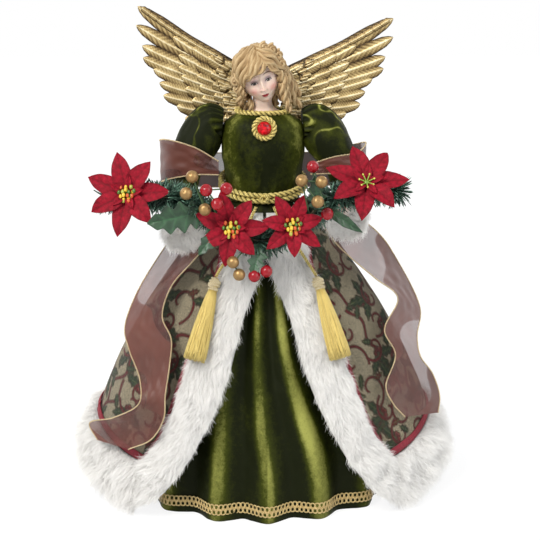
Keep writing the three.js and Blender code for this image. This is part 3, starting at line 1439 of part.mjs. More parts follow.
const bouquet = ['left_hand', 'right_hand', 'left_cuff', 'right_cuff', 'left_sleeve', 'right_sleeve'];
for (const [name, flower] of Object.entries(FLOWERS)) {
  add(`${name}_poinsettia`, fitted(makeFlower(flower), all(...bouquet), SOFT_GAP), petalRed);
  made[`${name}_poinsettia`].userData.room = makeFlower(flower, SOFT_GAP);
  bouquet.push(`${name}_poinsettia`);
}
for (const [name, flower] of Object.entries(FLOWERS)) {
  add(`${name}_stamens`, fitted(makeStamens(flower), all(...bouquet)), goldBead);
  bouquet.push(`${name}_stamens`);
}
for (const [name, pick] of Object.entries(BERRY_PICK_SHARES)) {
  const finish = name.startsWith('gold') ? goldBead : redBead;
  add(name, fitted(makeBerries(pick), all(...bouquet), SOFT_GAP), finish);
  bouquet.push(name);
}
for (const [name, leaf] of Object.entries(LEAVES)) {
  add(name, fitted(makeLeaf(leaf), all(...bouquet), SOFT_GAP), leafGreen);
  made[name].userData.room = makeLeaf(leaf, SOFT_GAP);
  bouquet.push(name);
}
const trims = [
  'gown_bodice', 'belt_cord', 'left_front_fur', 'right_front_fur', 'left_sleeve', 'right_sleeve',
];
add('stole', fitted(makeStole(), all(...trims, ...bouquet, 'coat'), SOFT_GAP), ribbon);
const tails = { left_tail: LEFT_TAIL_SHARES, right_tail: RIGHT_TAIL_SHARES };
for (const [name, shares] of Object.entries(tails)) {
  const beside = ['left_tassel_skirt', 'right_tassel_skirt', 'hem_fur', 'coat_edging', 'stole'];
  add(name, fitted(makeTail(shares), all(...bouquet, ...beside), SOFT_GAP), ribbon);
}
const hung = ['stole', 'left_tail', 'right_tail', 'left_tassel_cord', 'right_tassel_cord', 'coat'];
add('garland', makeGarland(all(...bouquet, ...trims, ...hung)), pine);

// The origin is the middle of the foot.
const middle = new THREE.Box3().setFromObject(topper).getCenter(new THREE.Vector3());
topper.position.set(-middle.x, -middle.y, 0);

export default topper;
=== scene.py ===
"""Angel tree topper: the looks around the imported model. Sizes are in millimetres
in the object's own frame, as in the part's source, and P() turns them to metres."""

import math

import bpy
import numpy as np
from mathutils import Matrix, Vector


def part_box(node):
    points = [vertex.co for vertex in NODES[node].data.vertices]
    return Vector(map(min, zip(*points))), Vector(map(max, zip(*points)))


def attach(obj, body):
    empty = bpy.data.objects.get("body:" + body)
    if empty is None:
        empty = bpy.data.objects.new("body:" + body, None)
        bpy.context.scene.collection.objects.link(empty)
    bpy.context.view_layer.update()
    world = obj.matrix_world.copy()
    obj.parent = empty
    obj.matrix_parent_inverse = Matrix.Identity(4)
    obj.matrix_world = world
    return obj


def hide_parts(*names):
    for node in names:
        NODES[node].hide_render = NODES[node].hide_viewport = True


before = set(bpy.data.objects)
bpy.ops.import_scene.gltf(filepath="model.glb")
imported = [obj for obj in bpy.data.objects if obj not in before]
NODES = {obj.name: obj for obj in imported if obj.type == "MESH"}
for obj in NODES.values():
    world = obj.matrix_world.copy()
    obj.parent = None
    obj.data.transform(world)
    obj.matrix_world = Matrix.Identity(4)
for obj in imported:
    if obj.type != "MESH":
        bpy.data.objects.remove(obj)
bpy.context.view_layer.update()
TURN = 2 * math.pi
MM = 0.001

# The cone stands on the object's own axis, which gives the frame's shift.
_lo, _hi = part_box("base_cone")
SHIFT = np.array([(_lo.x + _hi.x) / 2, (_lo.y + _hi.y) / 2, 0.0])


def P(points):
    """Millimetres in the object's own frame to metres in the row frame."""
    return np.asarray(points, float) * MM + SHIFT


def unit(v):
    v = np.asarray(v, float)
    return v / np.maximum(np.linalg.norm(v, axis=-1, keepdims=True), 1e-12)


def lerp(a, b, t):
    return a + (b - a) * t


def step(x, a, b):
    t = np.clip((x - a) / (b - a), 0, 1)
    return t * t * (3 - 2 * t)


# Smooth value noise in numpy, the same on every run.
CELLS = 64
LATTICE = np.random.default_rng(3).random((CELLS, CELLS, CELLS))


def noise3(p, scale, octaves=2):
    """Noise from -1 to 1 at points in mm, with features of about scale mm."""
    p = np.asarray(p, float) / scale + 100
    total, size, weight = 0, 1.0, 0
    for _ in range(octaves):
        q = p * (1 / size)
        cell = np.floor(q).astype(int)
        f = q - cell
        fx, fy, fz = np.moveaxis(f * f * (3 - 2 * f), -1, 0)
        x, y, z = ([(cell[..., k] + e) % CELLS for e in (0, 1)] for k in range(3))
        low, high = (lerp(lerp(LATTICE[x[0], y[0], k], LATTICE[x[1], y[0], k], fx),
                          lerp(LATTICE[x[0], y[1], k], LATTICE[x[1], y[1], k], fx), fy) for k in z)
        total = total + (lerp(low, high, fz) * 2 - 1) * size
        weight += size
        size *= 0.5
    return total / weight


class Curve:
    """A centripetal Catmull-Rom curve, as the part's source uses."""

    def __init__(self, points, closed=False):
        self.p = np.asarray(points, float)
        self.closed = closed

    def at(self, t):
        p, n = self.p, len(self.p)
        s = (n if self.closed else n - 1) * t
        i = int(math.floor(s))
        w = s - i
        if self.closed:
            i %= n
        elif w == 0 and i == n - 1:
            i, w = n - 2, 1.0
        get = lambda k: p[k % n]
        p0 = get(i - 1) if self.closed or i > 0 else 2 * p[0] - p[1]
        p1, p2 = get(i), get(i + 1)
        p3 = get(i + 2) if self.closed or i + 2 < n else 2 * p[-1] - p[-2]
        d = [max(np.dot(b - a, b - a) ** 0.25, 1e-4) for a, b in ((p0, p1), (p1, p2), (p2, p3))]
        if d[1] < 1e-4:
            d[1] = 1.0
        t1 = ((p1 - p0) / d[0] - (p2 - p0) / (d[0] + d[1]) + (p2 - p1) / d[1]) * d[1]
        t2 = ((p2 - p1) / d[1] - (p3 - p1) / (d[1] + d[2]) + (p3 - p2) / d[2]) * d[1]
        return p1 + t1 * w + (-3 * p1 + 3 * p2 - 2 * t1 - t2) * w * w + (2 * p1 - 2 * p2 + t1 + t2) * w ** 3

    def many(self, ts):
        return np.array([self.at(t) for t in ts])


def frames_along(pts, closed=False, up=(0, 0, 1)):
    """Tangent and two normals at each point, turned as little as can be."""
    pts = np.asarray(pts, float)
    if closed:
        t = unit(np.roll(pts, -1, 0) - np.roll(pts, 1, 0))
    else:
        t = unit(np.gradient(pts, axis=0))
    n = np.cross(t[0], up)
    if np.linalg.norm(n) < 1e-3:
        n = np.cross(t[0], (1, 0, 0))
    n = n / np.linalg.norm(n)
    ns = []
    for k in range(len(pts)):
        n = n - t[k] * np.dot(n, t[k])
        n = n / np.linalg.norm(n)
        ns.append(n)
    ns = np.array(ns)
    return t, ns, np.cross(t, ns)


# Meshes

def as_colors(value, count):
    """One colour a point, from one value or colour for all or for each."""
    c = np.asarray(value, float)
    if c.size == 3:
        return np.tile(c.ravel(), (count, 1))
    if c.size in (1, count):
        return np.broadcast_to(c.reshape(-1, 1), (count, 3))
    return c.reshape(-1, 3)


def make(name, verts, faces, mat, body="doll", replaces=(), slot=None, colors=None, uv=None, smooth=True,
         solid=None):
    """A mesh piece from points in mm, riding on a body. uv is one pair a point, in
    mm, and solid is the cloth's thickness."""
    mesh = bpy.data.meshes.new(name)
    verts = P(verts).reshape(-1, 3)
    if isinstance(faces, np.ndarray):
        corners = faces.shape[1]
        mesh.vertices.add(len(verts))
        mesh.vertices.foreach_set("co", verts.ravel())
        mesh.loops.add(faces.size)
        mesh.loops.foreach_set("vertex_index", faces.ravel().astype(np.int32))
        mesh.polygons.add(len(faces))
        mesh.polygons.foreach_set("loop_start", np.arange(0, faces.size, corners, dtype=np.int32))
        mesh.update(calc_edges=True)
    else:
        mesh.from_pydata(verts.tolist(), [], faces)
    mesh.validate()
    if colors is not None:
        rgba = np.ones((len(verts), 4), np.float32)
        rgba[:, :3] = as_colors(colors, len(verts))
        mesh.color_attributes.new("tone", "FLOAT_COLOR", "POINT").data.foreach_set("color", rgba.ravel())
    if uv is not None:
        layer = mesh.uv_layers.new(name="UVMap")
        corner = np.zeros(len(mesh.loops), np.int32)
        mesh.loops.foreach_get("vertex_index", corner)
        pairs = np.asarray(uv, float).reshape(-1, 2)[corner]
        layer.data.foreach_set("uv", pairs.astype(np.float32).ravel())
    mesh.polygons.foreach_set("use_smooth", [smooth] * len(mesh.polygons))
    mesh.materials.append(mat)
    obj = bpy.data.objects.new(name, mesh)
    bpy.context.scene.collection.objects.link(obj)
    if solid:
        shell = obj.modifiers.new("solid", "SOLIDIFY")
        shell.thickness, shell.offset = solid * MM, 0
    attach(obj, body)
    if replaces:
        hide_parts(*replaces)
    return obj


def circle(sides):
    return TURN * np.arange(sides) / sides


def lengths(pts):
    """How far along its line each point lies."""
    return np.concatenate([[0], np.cumsum(np.linalg.norm(np.diff(pts, axis=0), axis=1))])


def swept(line, n, b, angles, radius, flat=1.0):
    """Rings of points round a line, whose normals are n and b."""
    ring = np.cos(angles)[..., None] * n[:, None] + flat * np.sin(angles)[..., None] * b[:, None]
    return line[:, None] + radius[..., None] * ring


def turned(radii, levels, sides):
    """Rings of points round the y axis, with one radius and one y a ring."""
    a = circle(sides)
    r, y = (np.asarray(q, float)[:, None] for q in (radii, levels))
    return np.stack([r * np.cos(a), y + 0 * a, r * np.sin(a)], -1)


def grid_faces(rows, cols, close_cols=False, close_rows=False, flip=False):
    r = np.arange(rows if close_rows else rows - 1)
    c = np.arange(cols if close_cols else cols - 1)
    R, C = np.meshgrid(r, c, indexing="ij")
    R2, C2 = (R + 1) % rows, (C + 1) % cols
    f = np.stack([R * cols + C, R * cols + C2, R2 * cols + C2, R2 * cols + C], -1).reshape(-1, 4)
    return f[:, ::-1].copy() if flip else f


def capped(rows, cols):
    """Faces of a tube of rings, with one more over each end."""
    last = (rows - 1) * cols
    ends = [list(range(cols))[::-1], [last + k for k in range(cols)]]
    return grid_faces(rows, cols, close_cols=True).tolist() + ends


def tube_mesh(pts, radius, sides, closed=False):
    """Points, faces and uv of a tube. radius is a number or one a point."""
    pts = np.asarray(pts, float)
    _, n, b = frames_along(pts, closed)
    r = np.broadcast_to(np.asarray(radius, float), (len(pts),))
    v = swept(pts, n, b, circle(sides), r[:, None]).reshape(-1, 3)
    if closed:
        f = grid_faces(len(pts), sides, close_cols=True, close_rows=True).tolist()
    else:
        f = capped(len(pts), sides)
    around = np.tile(circle(sides) * r.mean(), len(pts))
    return v, f, np.stack([np.repeat(lengths(pts), sides), around], -1)


class Batch:
    """Collects many small shapes into one mesh."""

    def __init__(self):
        self.v, self.f, self.c, self.uv, self.n, self.mapped = [], [], [], [], 0, False

    def add(self, verts, faces, color=1.0, uv=None):
        verts = np.asarray(verts, float).reshape(-1, 3)
        if isinstance(faces, np.ndarray):
            faces = faces.tolist()
        self.v.append(verts)
        self.f += [[k + self.n for k in face] for face in faces]
        self.c.append(as_colors(color, len(verts)))
        self.uv.append(np.zeros((len(verts), 2)) if uv is None else uv)
        self.mapped |= uv is not None
        self.n += len(verts)

    def tube(self, pts, radius, sides, color=1.0, closed=False):
        v, f, uv = tube_mesh(pts, radius, sides, closed)
        self.add(v, f, color, uv)

    def build(self, name, mat, **more):
        uv = np.concatenate(self.uv) if self.mapped else None
        return make(name, np.concatenate(self.v), self.f, mat, colors=np.concatenate(self.c), uv=uv, **more)


def twisted(batch, pts, radius, pitch, closed=False, sides=6, phase=0.0):
    """Twisted cord: strands that wind round the line. A closed line keeps whole turns."""
    strands = 2
    strand = radius / strands
    pts = np.asarray(pts, float)
    path = np.concatenate([pts, pts[:1]]) if closed else pts
    reach = lengths(path)
    length = reach[-1]
    s = np.linspace(0, length, int(max(24, length / (pitch / 10))), endpoint=not closed)
    line = np.stack([np.interp(s, reach, path[:, k]) for k in range(3)], -1)
    _, n, b = frames_along(line, closed)
    # A loop's normals don't meet where it closes, so the gap is spread over it.
    gap = math.atan2(np.dot(n[0], b[-1]), np.dot(n[0], n[-1])) if closed else 0.0
    turns = max(1, round(length / pitch)) if closed else length / pitch
    for k in range(strands):
        ang = phase + TURN * k / strands + (TURN * turns + gap) * s / length
        wound = line + (radius - strand) * (np.cos(ang)[:, None] * n + np.sin(ang)[:, None] * b)
        v, f, uv = tube_mesh(wound, strand, sides, closed)
        # Darker towards the cord's middle, where the strands shade one another.
        far = np.linalg.norm(v - np.repeat(line, sides, 0), axis=1) / radius
        batch.add(v, f, lerp(0.14, 1.0, step(far, 0.42, 0.92)), uv)


# Materials

def rgba(value):
    """A node's value, where a colour of three parts gets its fourth."""
    return (*value, 1.0) if isinstance(value, tuple) and len(value) == 3 else value


class Mat:
    """A node material with a principled shader."""

    def __init__(self, name, **values):
        self.mat = bpy.data.materials.new(name)
        self.mat.use_nodes = True
        self.tree = self.mat.node_tree
        self.shader = self.tree.nodes["Principled BSDF"]
        for key, value in values.items():
            self.shader.inputs[key.replace("_", " ")].default_value = rgba(value)

    def put(self, socket, value):
        if isinstance(value, bpy.types.NodeSocket):
            self.tree.links.new(value, socket)
        else:
            socket.default_value = rgba(value) if socket.type == "RGBA" else value

    def node(self, kind, inputs, **props):
        n = self.tree.nodes.new("ShaderNode" + kind)
        for key, value in props.items():
            setattr(n, key, value)
        for key, value in inputs.items():
            self.put(n.inputs[key], value)
        return n

    def link(self, value, key):
        self.put(self.shader.inputs[key], value)

    def coords(self, scale=(1.0, 1.0, 1.0), kind="Object"):
        place = self.node("TexCoord", {}).outputs[kind]
        return self.node("Mapping", {"Vector": place, "Scale": scale}).outputs[0]

    def noise(self, vec, scale, detail=3.0, rough=0.55):
        inputs = {"Vector": vec, "Scale": scale, "Detail": detail, "Roughness": rough}
        return self.node("TexNoise", inputs).outputs["Fac"]

    def bands(self, vec, scale, distortion, detail=1.0, way="X"):
        inputs = {"Vector": vec, "Scale": scale, "Distortion": distortion, "Detail": detail}
        return self.node("TexWave", inputs, bands_direction=way).outputs["Fac"]

    def ramp(self, fac, stops):
        n = self.node("ValToRGB", {"Fac": fac})
        marks = n.color_ramp.elements
        while len(marks) < len(stops):
            marks.new(0.5)
        for mark, (place, color) in zip(marks, stops):
            mark.position, mark.color = place, rgba(color)
        return n.outputs["Color"]

    def mix(self, fac, a, b, blend="MIX"):
        return self.node("Mix", {0: fac, 6: a, 7: b}, data_type="RGBA", blend_type=blend).outputs[2]

    def tone(self):
        return self.node("VertexColor", {}, layer_name="tone").outputs["Color"]

    def toned(self, color, share=1.0):
        """The base colour, times the mesh's own tone."""
        self.link(self.mix(share, color, self.tone(), "MULTIPLY"), "Base Color")

    def math(self, op, a, b):
        return self.node("Math", {0: a, 1: b}, operation=op).outputs[0]

    def sum(self, first, *terms):
        """first, plus each value times its weight."""
        for value, weight in terms:
            first = self.math("ADD", first, self.math("MULTIPLY", value, weight))
        return first

    def centred(self, value):
        return self.math("SUBTRACT", value, 0.5)

    def bump(self, height, strength, distance):
        n = self.node("Bump", {"Height": height, "Strength": strength, "Distance": distance})
        self.link(n.outputs["Normal"], "Normal")

    def blend_with(self, other, share):
        """The other shader takes a share of the surface."""
        both = self.node("MixShader", {0: share, 1: self.shader.outputs[0], 2: other.outputs[0]})
        self.put(self.tree.nodes["Material Output"].inputs["Surface"], both.outputs[0])


def lerp_c(a, b, t):
    return tuple(lerp(x, y, t) for x, y in zip(a, b))


def velvet(name, dark, mid, bright):
    """Velvet: a dark pile, with painted sheen highlights where the mesh's tone is high."""
    m = Mat(name, Roughness=0.6, Sheen_Weight=0.07, Sheen_Roughness=0.35, Sheen_Tint=bright,
            Specular_IOR_Level=0.09)
    o = m.coords()
    crush, pile, speck = m.noise(o, 260.0, 4.0, 0.6), m.noise(o, 2600.0, 2.0, 0.5), m.noise(o, 850.0, 3.0,
                                                                                            0.6)
    t = m.sum(m.tone(), (m.centred(crush), 0.35), (m.centred(pile), 0.22), (m.centred(speck), 0.34))
    m.link(m.ramp(t, [(0.14, dark), (0.52, mid), (1.0, bright)]), "Base Color")
    m.bump(m.sum(m.math("MULTIPLY", crush, 0.6), (pile, 0.4)), 0.35, 0.0006)
    return m.mat


def cord_gold(name, light, dark):
    """Metallic thread, twisted finely along the cord."""
    m = Mat(name, Roughness=0.36, Metallic=0.35, Specular_IOR_Level=0.6)
    thread = m.bands(m.coords((900.0, 2600.0, 1.0), "UV"), 1.0, 1.2, way="DIAGONAL")
    wide = m.noise(m.coords(), 300.0, 2.0)
    t = m.sum(m.math("MULTIPLY", thread, 0.75), (wide, 0.3))
    m.toned(m.ramp(t, [(0.1, dark), (0.5, lerp_c(dark, light, 0.7)), (0.95, light)]), 0.85)
    m.bump(thread, 0.5, 0.0003)
    return m.mat


def plain(name, color, rough, scale, amount=0.2, bump=0.15, distance=0.0003, **more):
    """A lightly mottled material."""
    m = Mat(name, Roughness=rough, **more)
    o = m.coords()
    low = tuple(c * (1 - amount) for c in color)
    high = tuple(min(1.0, c * (1 + amount)) for c in color)
    m.link(m.ramp(m.noise(o, scale, 4.0), [(0.3, low), (0.7, high)]), "Base Color")
    m.bump(m.noise(o, scale * 9, 2.0), bump, distance)
    return m.mat


def toned(name, rough, spec=0.5, mottle=0.15, scale=400.0, bump=0.15, **more):
    """A material that takes its colour from the mesh, with a light mottle."""
    m = Mat(name, Roughness=rough, Specular_IOR_Level=spec, **more)
    o = m.coords()
    m.toned(m.ramp(m.noise(o, scale, 3.0), [(0.25, (1 - mottle,) * 3), (0.75, (1.0, 1.0, 1.0))]))
    m.bump(m.noise(o, scale * 6, 2.0), bump, 0.0002)
    return m.mat


def soft_leaf(name, dark, light, scale, detail, fine, bump, distance, **more):
    """A petal's or leaf's cloth, cloudy between two colours."""
    m = Mat(name, **more)
    o = m.coords()
    m.toned(m.ramp(m.noise(o, scale, detail), [(0.3, dark), (0.7, light)]))
    m.bump(m.noise(o, fine, 2.0), bump, distance)
    return m.mat


def fur():
    """White fur, which lets some light through."""
    m = Mat("white_fur", Roughness=0.75, Sheen_Weight=0.25, Sheen_Roughness=0.5, Specular_IOR_Level=0.2)
    m.toned((0.975, 0.965, 0.945))
    m.blend_with(m.node("BsdfTranslucent", {"Color": (0.98, 0.97, 0.95)}), 0.38)
    return m.mat


def tapestry():
    """Woven cloth whose sprigs are the mesh's own tone."""
    m = Mat("tapestry", Roughness=0.9, Sheen_Weight=0.15, Specular_IOR_Level=0.15)
    uv = m.coords(kind="UV")
    weave = m.math("MULTIPLY", m.bands(uv, 260.0, 0.6), m.bands(uv, 190.0, 0.8, way="Y"))
    shade = m.sum(m.math("MULTIPLY", weave, 0.55), (m.noise(m.coords(), 900.0, 2.0), 0.9))
    m.toned(m.ramp(shade, [(0.25, (0.16, 0.145, 0.11)), (0.95, (0.93, 0.87, 0.76))]))
    m.bump(weave, 0.6, 0.0006)
    return m.mat


def organza():
    """Sheer ribbon: fine threads with small gaps, a little shine. The tone's red
    is its shade, and the green says where the cloth is doubled."""
    m = Mat("sheer_ribbon", Roughness=0.42, Specular_IOR_Level=0.45, Sheen_Weight=0.3, Sheen_Roughness=0.4)
    uv = m.coords(kind="UV")
    gauze = m.math("MULTIPLY", m.bands(uv, 420.0, 0.3, 2.0), m.bands(uv, 420.0, 0.3, 2.0, way="Y"))
    parts = m.node("SeparateColor", {"Color": m.tone()}).outputs
    shade, doubled = parts["Red"], parts["Green"]
    cloudy = m.ramp(m.noise(m.coords(), 28.0, 3.0), [
        (0.3, (0.060, 0.020, 0.016)), (0.55, (0.120, 0.030, 0.020)), (0.8, (0.120, 0.052, 0.042))])
    color = m.mix(doubled, cloudy, (0.118, 0.031, 0.018))
    grey = m.node("CombineColor", {"Red": shade, "Green": shade, "Blue": shade}).outputs[0]
    m.link(m.mix(1.0, color, grey, "MULTIPLY"), "Base Color")
    # Doubled cloth lets less light through.
    m.link(m.sum(0.70, (gauze, 0.20), (doubled, 0.22)), "Alpha")
    m.bump(gauze, 0.15, 0.0002)
    return m.mat


def gold_paint():
    """Antique gold, brown in the grooves and worn bright on the crests, from the mesh's tone, which paints
    shade in the grooves and highlights on the crests.
    """
    m = Mat("antique_gold", Roughness=0.34, Metallic=0.62, Specular_IOR_Level=0.5)
    o = m.coords()
    wear = m.noise(o, 120.0, 4.0)
    m.link(m.ramp(m.sum(m.tone(), (m.centred(wear), 0.3)), [
        (0.05, (0.018, 0.009, 0.002)), (0.37, (0.155, 0.097, 0.034)), (0.66, (0.50, 0.370, 0.160)),
        (0.95, (0.90, 0.80, 0.54))]), "Base Color")
    m.link(m.sum(0.28, (wear, 0.2)), "Roughness")
    m.bump(m.noise(o, 1400.0, 3.0), 0.25, 0.0003)
    return m.mat


def wood():
    m = Mat("turned_wood", Roughness=0.6)
    grain = m.noise(m.coords((30.0, 30.0, 4.0)), 3.0, 6.0)
    m.link(m.ramp(grain, [(0.3, (0.42, 0.25, 0.10)), (0.7, (0.62, 0.42, 0.22))]), "Base Color")
    m.bump(grain, 0.2, 0.0004)
    return m.mat


mat_velvet = velvet("olive_velvet", (0.006, 0.008, 0.0008), (0.036, 0.043, 0.003), (0.31, 0.315, 0.075))
mat_cord = cord_gold("gold_cord", (0.93, 0.78, 0.28), (0.36, 0.24, 0.03))
mat_tassel = cord_gold("tassel_thread", (0.96, 0.77, 0.28), (0.58, 0.41, 0.09))
mat_braid = cord_gold("gold_braid", (0.86, 0.66, 0.30), (0.24, 0.15, 0.04))
mat_knot = cord_gold("knot_thread", (0.96, 0.87, 0.62), (0.56, 0.43, 0.20))
mat_wire_gold = cord_gold("ribbon_edge", (0.92, 0.76, 0.48), (0.45, 0.30, 0.12))
mat_fur, mat_tapestry, mat_ribbon, mat_gold = fur(), tapestry(), organza(), gold_paint()
mat_petal = soft_leaf("petal_velvet", (0.185, 0.0015, 0.009), (0.34, 0.0035, 0.019), 420.0, 4.0, 3000.0, 0.4,
                      0.0004, Roughness=0.7, Sheen_Weight=0.22, Sheen_Roughness=0.4,
                      Sheen_Tint=(0.8, 0.05, 0.08), Specular_IOR_Level=0.2)
mat_leaf = soft_leaf("satin_leaf", (0.007, 0.032, 0.012), (0.020, 0.072, 0.028), 160.0, 3.0, 2400.0, 0.25,
                     0.0003, Roughness=0.42, Sheen_Weight=0.2, Specular_IOR_Level=0.45)
mat_pine = toned("pine_foil", 0.38)
mat_bead = toned("stamen_bead", 0.35)
mat_bisque = toned("bisque", 0.48, 0.4, 0.04, 200.0, 0.05, Subsurface_Weight=0.08)
mat_hair = toned("painted_hair", 0.6, 0.3, 0.10, 260.0, 0.12)
mat_burgundy = plain("burgundy_edging", (0.21, 0.006, 0.018), 0.8, 700.0, 0.35, 0.6, 0.0006,
                     Sheen_Weight=0.08)
mat_berry_gold = plain("berry_gold", (0.29, 0.175, 0.065), 0.40, 220.0, 0.2, 0.06, Metallic=0.6)
mat_berry_red = plain("berry_red", (0.27, 0.002, 0.008), 0.24, 200.0, 0.2, 0.03, Specular_IOR_Level=0.4)
mat_gem = plain("red_gem", (0.50, 0.002, 0.008), 0.10, 420.0, 0.8, 0.02, Specular_IOR_Level=0.35)
mat_stem = plain("stem_wire", (0.03, 0.07, 0.02), 0.6, 500.0, 0.3, 0.2)

# The parts inside keep their CAD shapes.
board = plain("board", (0.42, 0.28, 0.14), 0.85, 260.0, 0.2, 0.3)
steel = plain("steel", (0.42, 0.42, 0.43), 0.35, 500.0, 0.15, 0.1, Metallic=1.0)
for node, mat in (("base_cone", board), ("torso_core", wood()), ("arm_wire", steel), ("wing_bracket", steel),
                  ("left_wing_screw", steel), ("right_wing_screw", steel)):
    NODES[node].data.materials.clear()
    NODES[node].data.materials.append(mat)


# Camera, as in the photograph: the object is turned a little to the right.

SENSOR = 36.0
FOCAL_SHARE = 1188.23 / 540  # the photograph's focal length and width, in pixels
CAMERA_AT = np.array([6.0, -1000.0, 430.0])
CAMERA_TURN, CAMERA_TILT = math.radians(-2.5), math.radians(13.671)


def aim(obj, way):
    obj.rotation_mode = "QUATERNION"
    obj.rotation_quaternion = Vector(way).to_track_quat("-Z", "Y")


def add_object(name, data):
    obj = bpy.data.objects.new(name, data)
    bpy.context.scene.collection.objects.link(obj)
    return obj


def make_camera():
    lens = bpy.data.cameras.new("camera")
    lens.sensor_width, lens.lens = SENSOR, FOCAL_SHARE * SENSOR
    lens.clip_start, lens.clip_end = 0.01, 20
    camera = add_object("camera", lens)
    c, s = math.cos(CAMERA_TURN), math.sin(CAMERA_TURN)
    spin = np.array([[c, -s, 0], [s, c, 0], [0, 0, 1]])
    camera.location = P(spin @ CAMERA_AT)
    aim(camera, spin @ np.array([0, math.cos(CAMERA_TILT), -math.sin(CAMERA_TILT)]))
    bpy.context.scene.camera = camera


make_camera()

# Stage: a white floor and world, as the camera sees them, and four lamps.

LAMPS = (("key", (-0.75, -1.05, 1.30), 0.55, 26.0, (1.0, 0.98, 0.95)),
         ("fill", (1.1, -0.9, 0.8), 1.2, 9.5, (0.96, 0.98, 1.0)),
         ("rim_left", (-1.0, 0.9, 0.9), 0.9, 6.0, (1, 1, 1)),
         ("rim_right", (0.9, 1.0, 0.9), 0.9, 6.0, (1, 1, 1)))
LAMPS_AIM = Vector((0, 0, 0.2))
FLOOR_HALF, FLOOR_AT = 6, -0.0005


def make_world():
    world = bpy.data.worlds.new("studio")
    bpy.context.scene.world = world
    world.use_nodes = True
    tree = world.node_tree
    add = lambda kind: tree.nodes.new("ShaderNode" + kind)
    grey, white = tree.nodes["Background"], add("Background")
    for node, color, strength in ((white, (1, 1, 1, 1), 1.0), (grey, (0.93, 0.96, 1.0, 1), 0.40)):
        node.inputs["Color"].default_value, node.inputs["Strength"].default_value = color, strength
    rays = add("LightPath").outputs
    seen = rays["Is Camera Ray"]
    for kind in ("Is Transmission Ray", "Is Glossy Ray"):
        most = add("Math")
        most.operation = "MAXIMUM"
        tree.links.new(seen, most.inputs[0])
        tree.links.new(rays[kind], most.inputs[1])
        seen = most.outputs[0]
    mix = add("MixShader")
    for k, source in enumerate((seen, grey.outputs[0], white.outputs[0])):
        tree.links.new(source, mix.inputs[k])
    tree.links.new(mix.outputs[0], tree.nodes["World Output"].inputs["Surface"])


def make_floor():
    m = Mat("floor", Roughness=0.9, Base_Color=(0.9, 0.9, 0.9))
    rays = m.node("LightPath", {}).outputs
    glow = m.node("Emission", {"Color": (1.0, 1.0, 1.0), "Strength": 1.08})
    far = m.node("VectorMath", {0: m.node("TexCoord", {}).outputs["Object"]},
                 operation="LENGTH").outputs["Value"]
    far = m.node("MapRange",
                 {"Value": far, "From Min": 0.25, "From Max": 0.75, "To Min": 0.80, "To Max": 1.0})
    seen = m.math("MAXIMUM", rays["Is Camera Ray"], rays["Is Glossy Ray"])
    seen = m.math("MAXIMUM", seen, rays["Is Transmission Ray"])
    m.blend_with(glow, m.math("MULTIPLY", seen, far.outputs[0]))
    mesh = bpy.data.meshes.new("floor")
    corners = [(x * FLOOR_HALF, y * FLOOR_HALF, FLOOR_AT) for x, y in ((-1, -1), (1, -1), (1, 1), (-1, 1))]
    mesh.from_pydata(corners, [], [(0, 1, 2, 3)])
    mesh.materials.append(m.mat)
    add_object("floor", mesh)


def make_lamps():
    for name, place, size, power, color in LAMPS:
        lamp = bpy.data.lights.new(name, "AREA")
        lamp.shape, lamp.size, lamp.energy, lamp.color = "SQUARE", size, power, color
        obj = add_object(name, lamp)
        obj.location = place
        aim(obj, LAMPS_AIM - Vector(place))


bpy.context.scene.view_settings.view_transform = "Standard"
make_world()
make_floor()
make_lamps()

# Drapes: the same surfaces as the solids.

WAIST, WAIST_W, WAIST_D = 250.0, 62.0, 54.0
GOWN_W, GOWN_D, GOWN_FOLD, GOWN_FOLDS = 244.0, 214.0, 9.0, 16
COAT_W, COAT_D, COAT_FOLD, COAT_FOLDS = 300.0, 222.0, 5.0, 7
CLOTH, SOFT_GAP, TRIM_GAP, FUR = 2.0, 0.6, 0.9, 10.0
STAND = 24.0


def flare(h):
    """How far a drape has opened at a height, from 0 at the waist to 1."""
    return 1 - np.clip(np.asarray(h, float) / WAIST, 0, 1) ** 1.8


def oval(w, d, ang, out, h):
    """Points on an oval of the sizes given, pushed out; the angle starts in front."""
    ang, out, h = np.broadcast_arrays(np.asarray(ang, float), out, h)
    return np.stack([(w / 2 + out) * np.sin(ang), -(d / 2 + out) * np.cos(ang), h + 0 * ang], -1)


def gown_oval(ang, h, out):
    k = flare(h)
    return oval(lerp(WAIST_W, GOWN_W, k), lerp(WAIST_D, GOWN_D, k), ang, out, h)


def gown(ang, h, out):
    wave = 0.5 - 0.5 * np.cos(GOWN_FOLDS * ang + 0.5 * np.sin(3 * ang))
    return gown_oval(ang, h, out - GOWN_FOLD * wave * flare(h))


def coat(ang, h, out):
    k = flare(h)
    wave = COAT_FOLD * (0.5 - 0.5 * np.cos(COAT_FOLDS * ang)) * k
    return oval(lerp(WAIST_W, COAT_W, k), lerp(WAIST_D, COAT_D, k), ang, SOFT_GAP + out + wave, h)


def coat_half(h):
    return lerp(WAIST_W, COAT_W, flare(h)) / 2


def between(stations, shares):
    """Angles and heights across a band whose stations hold both of its edges."""
    return (lerp(stations[:, k:k + 1], stations[:, k + 2:k + 3], shares[None, :]) for k in (0, 1))


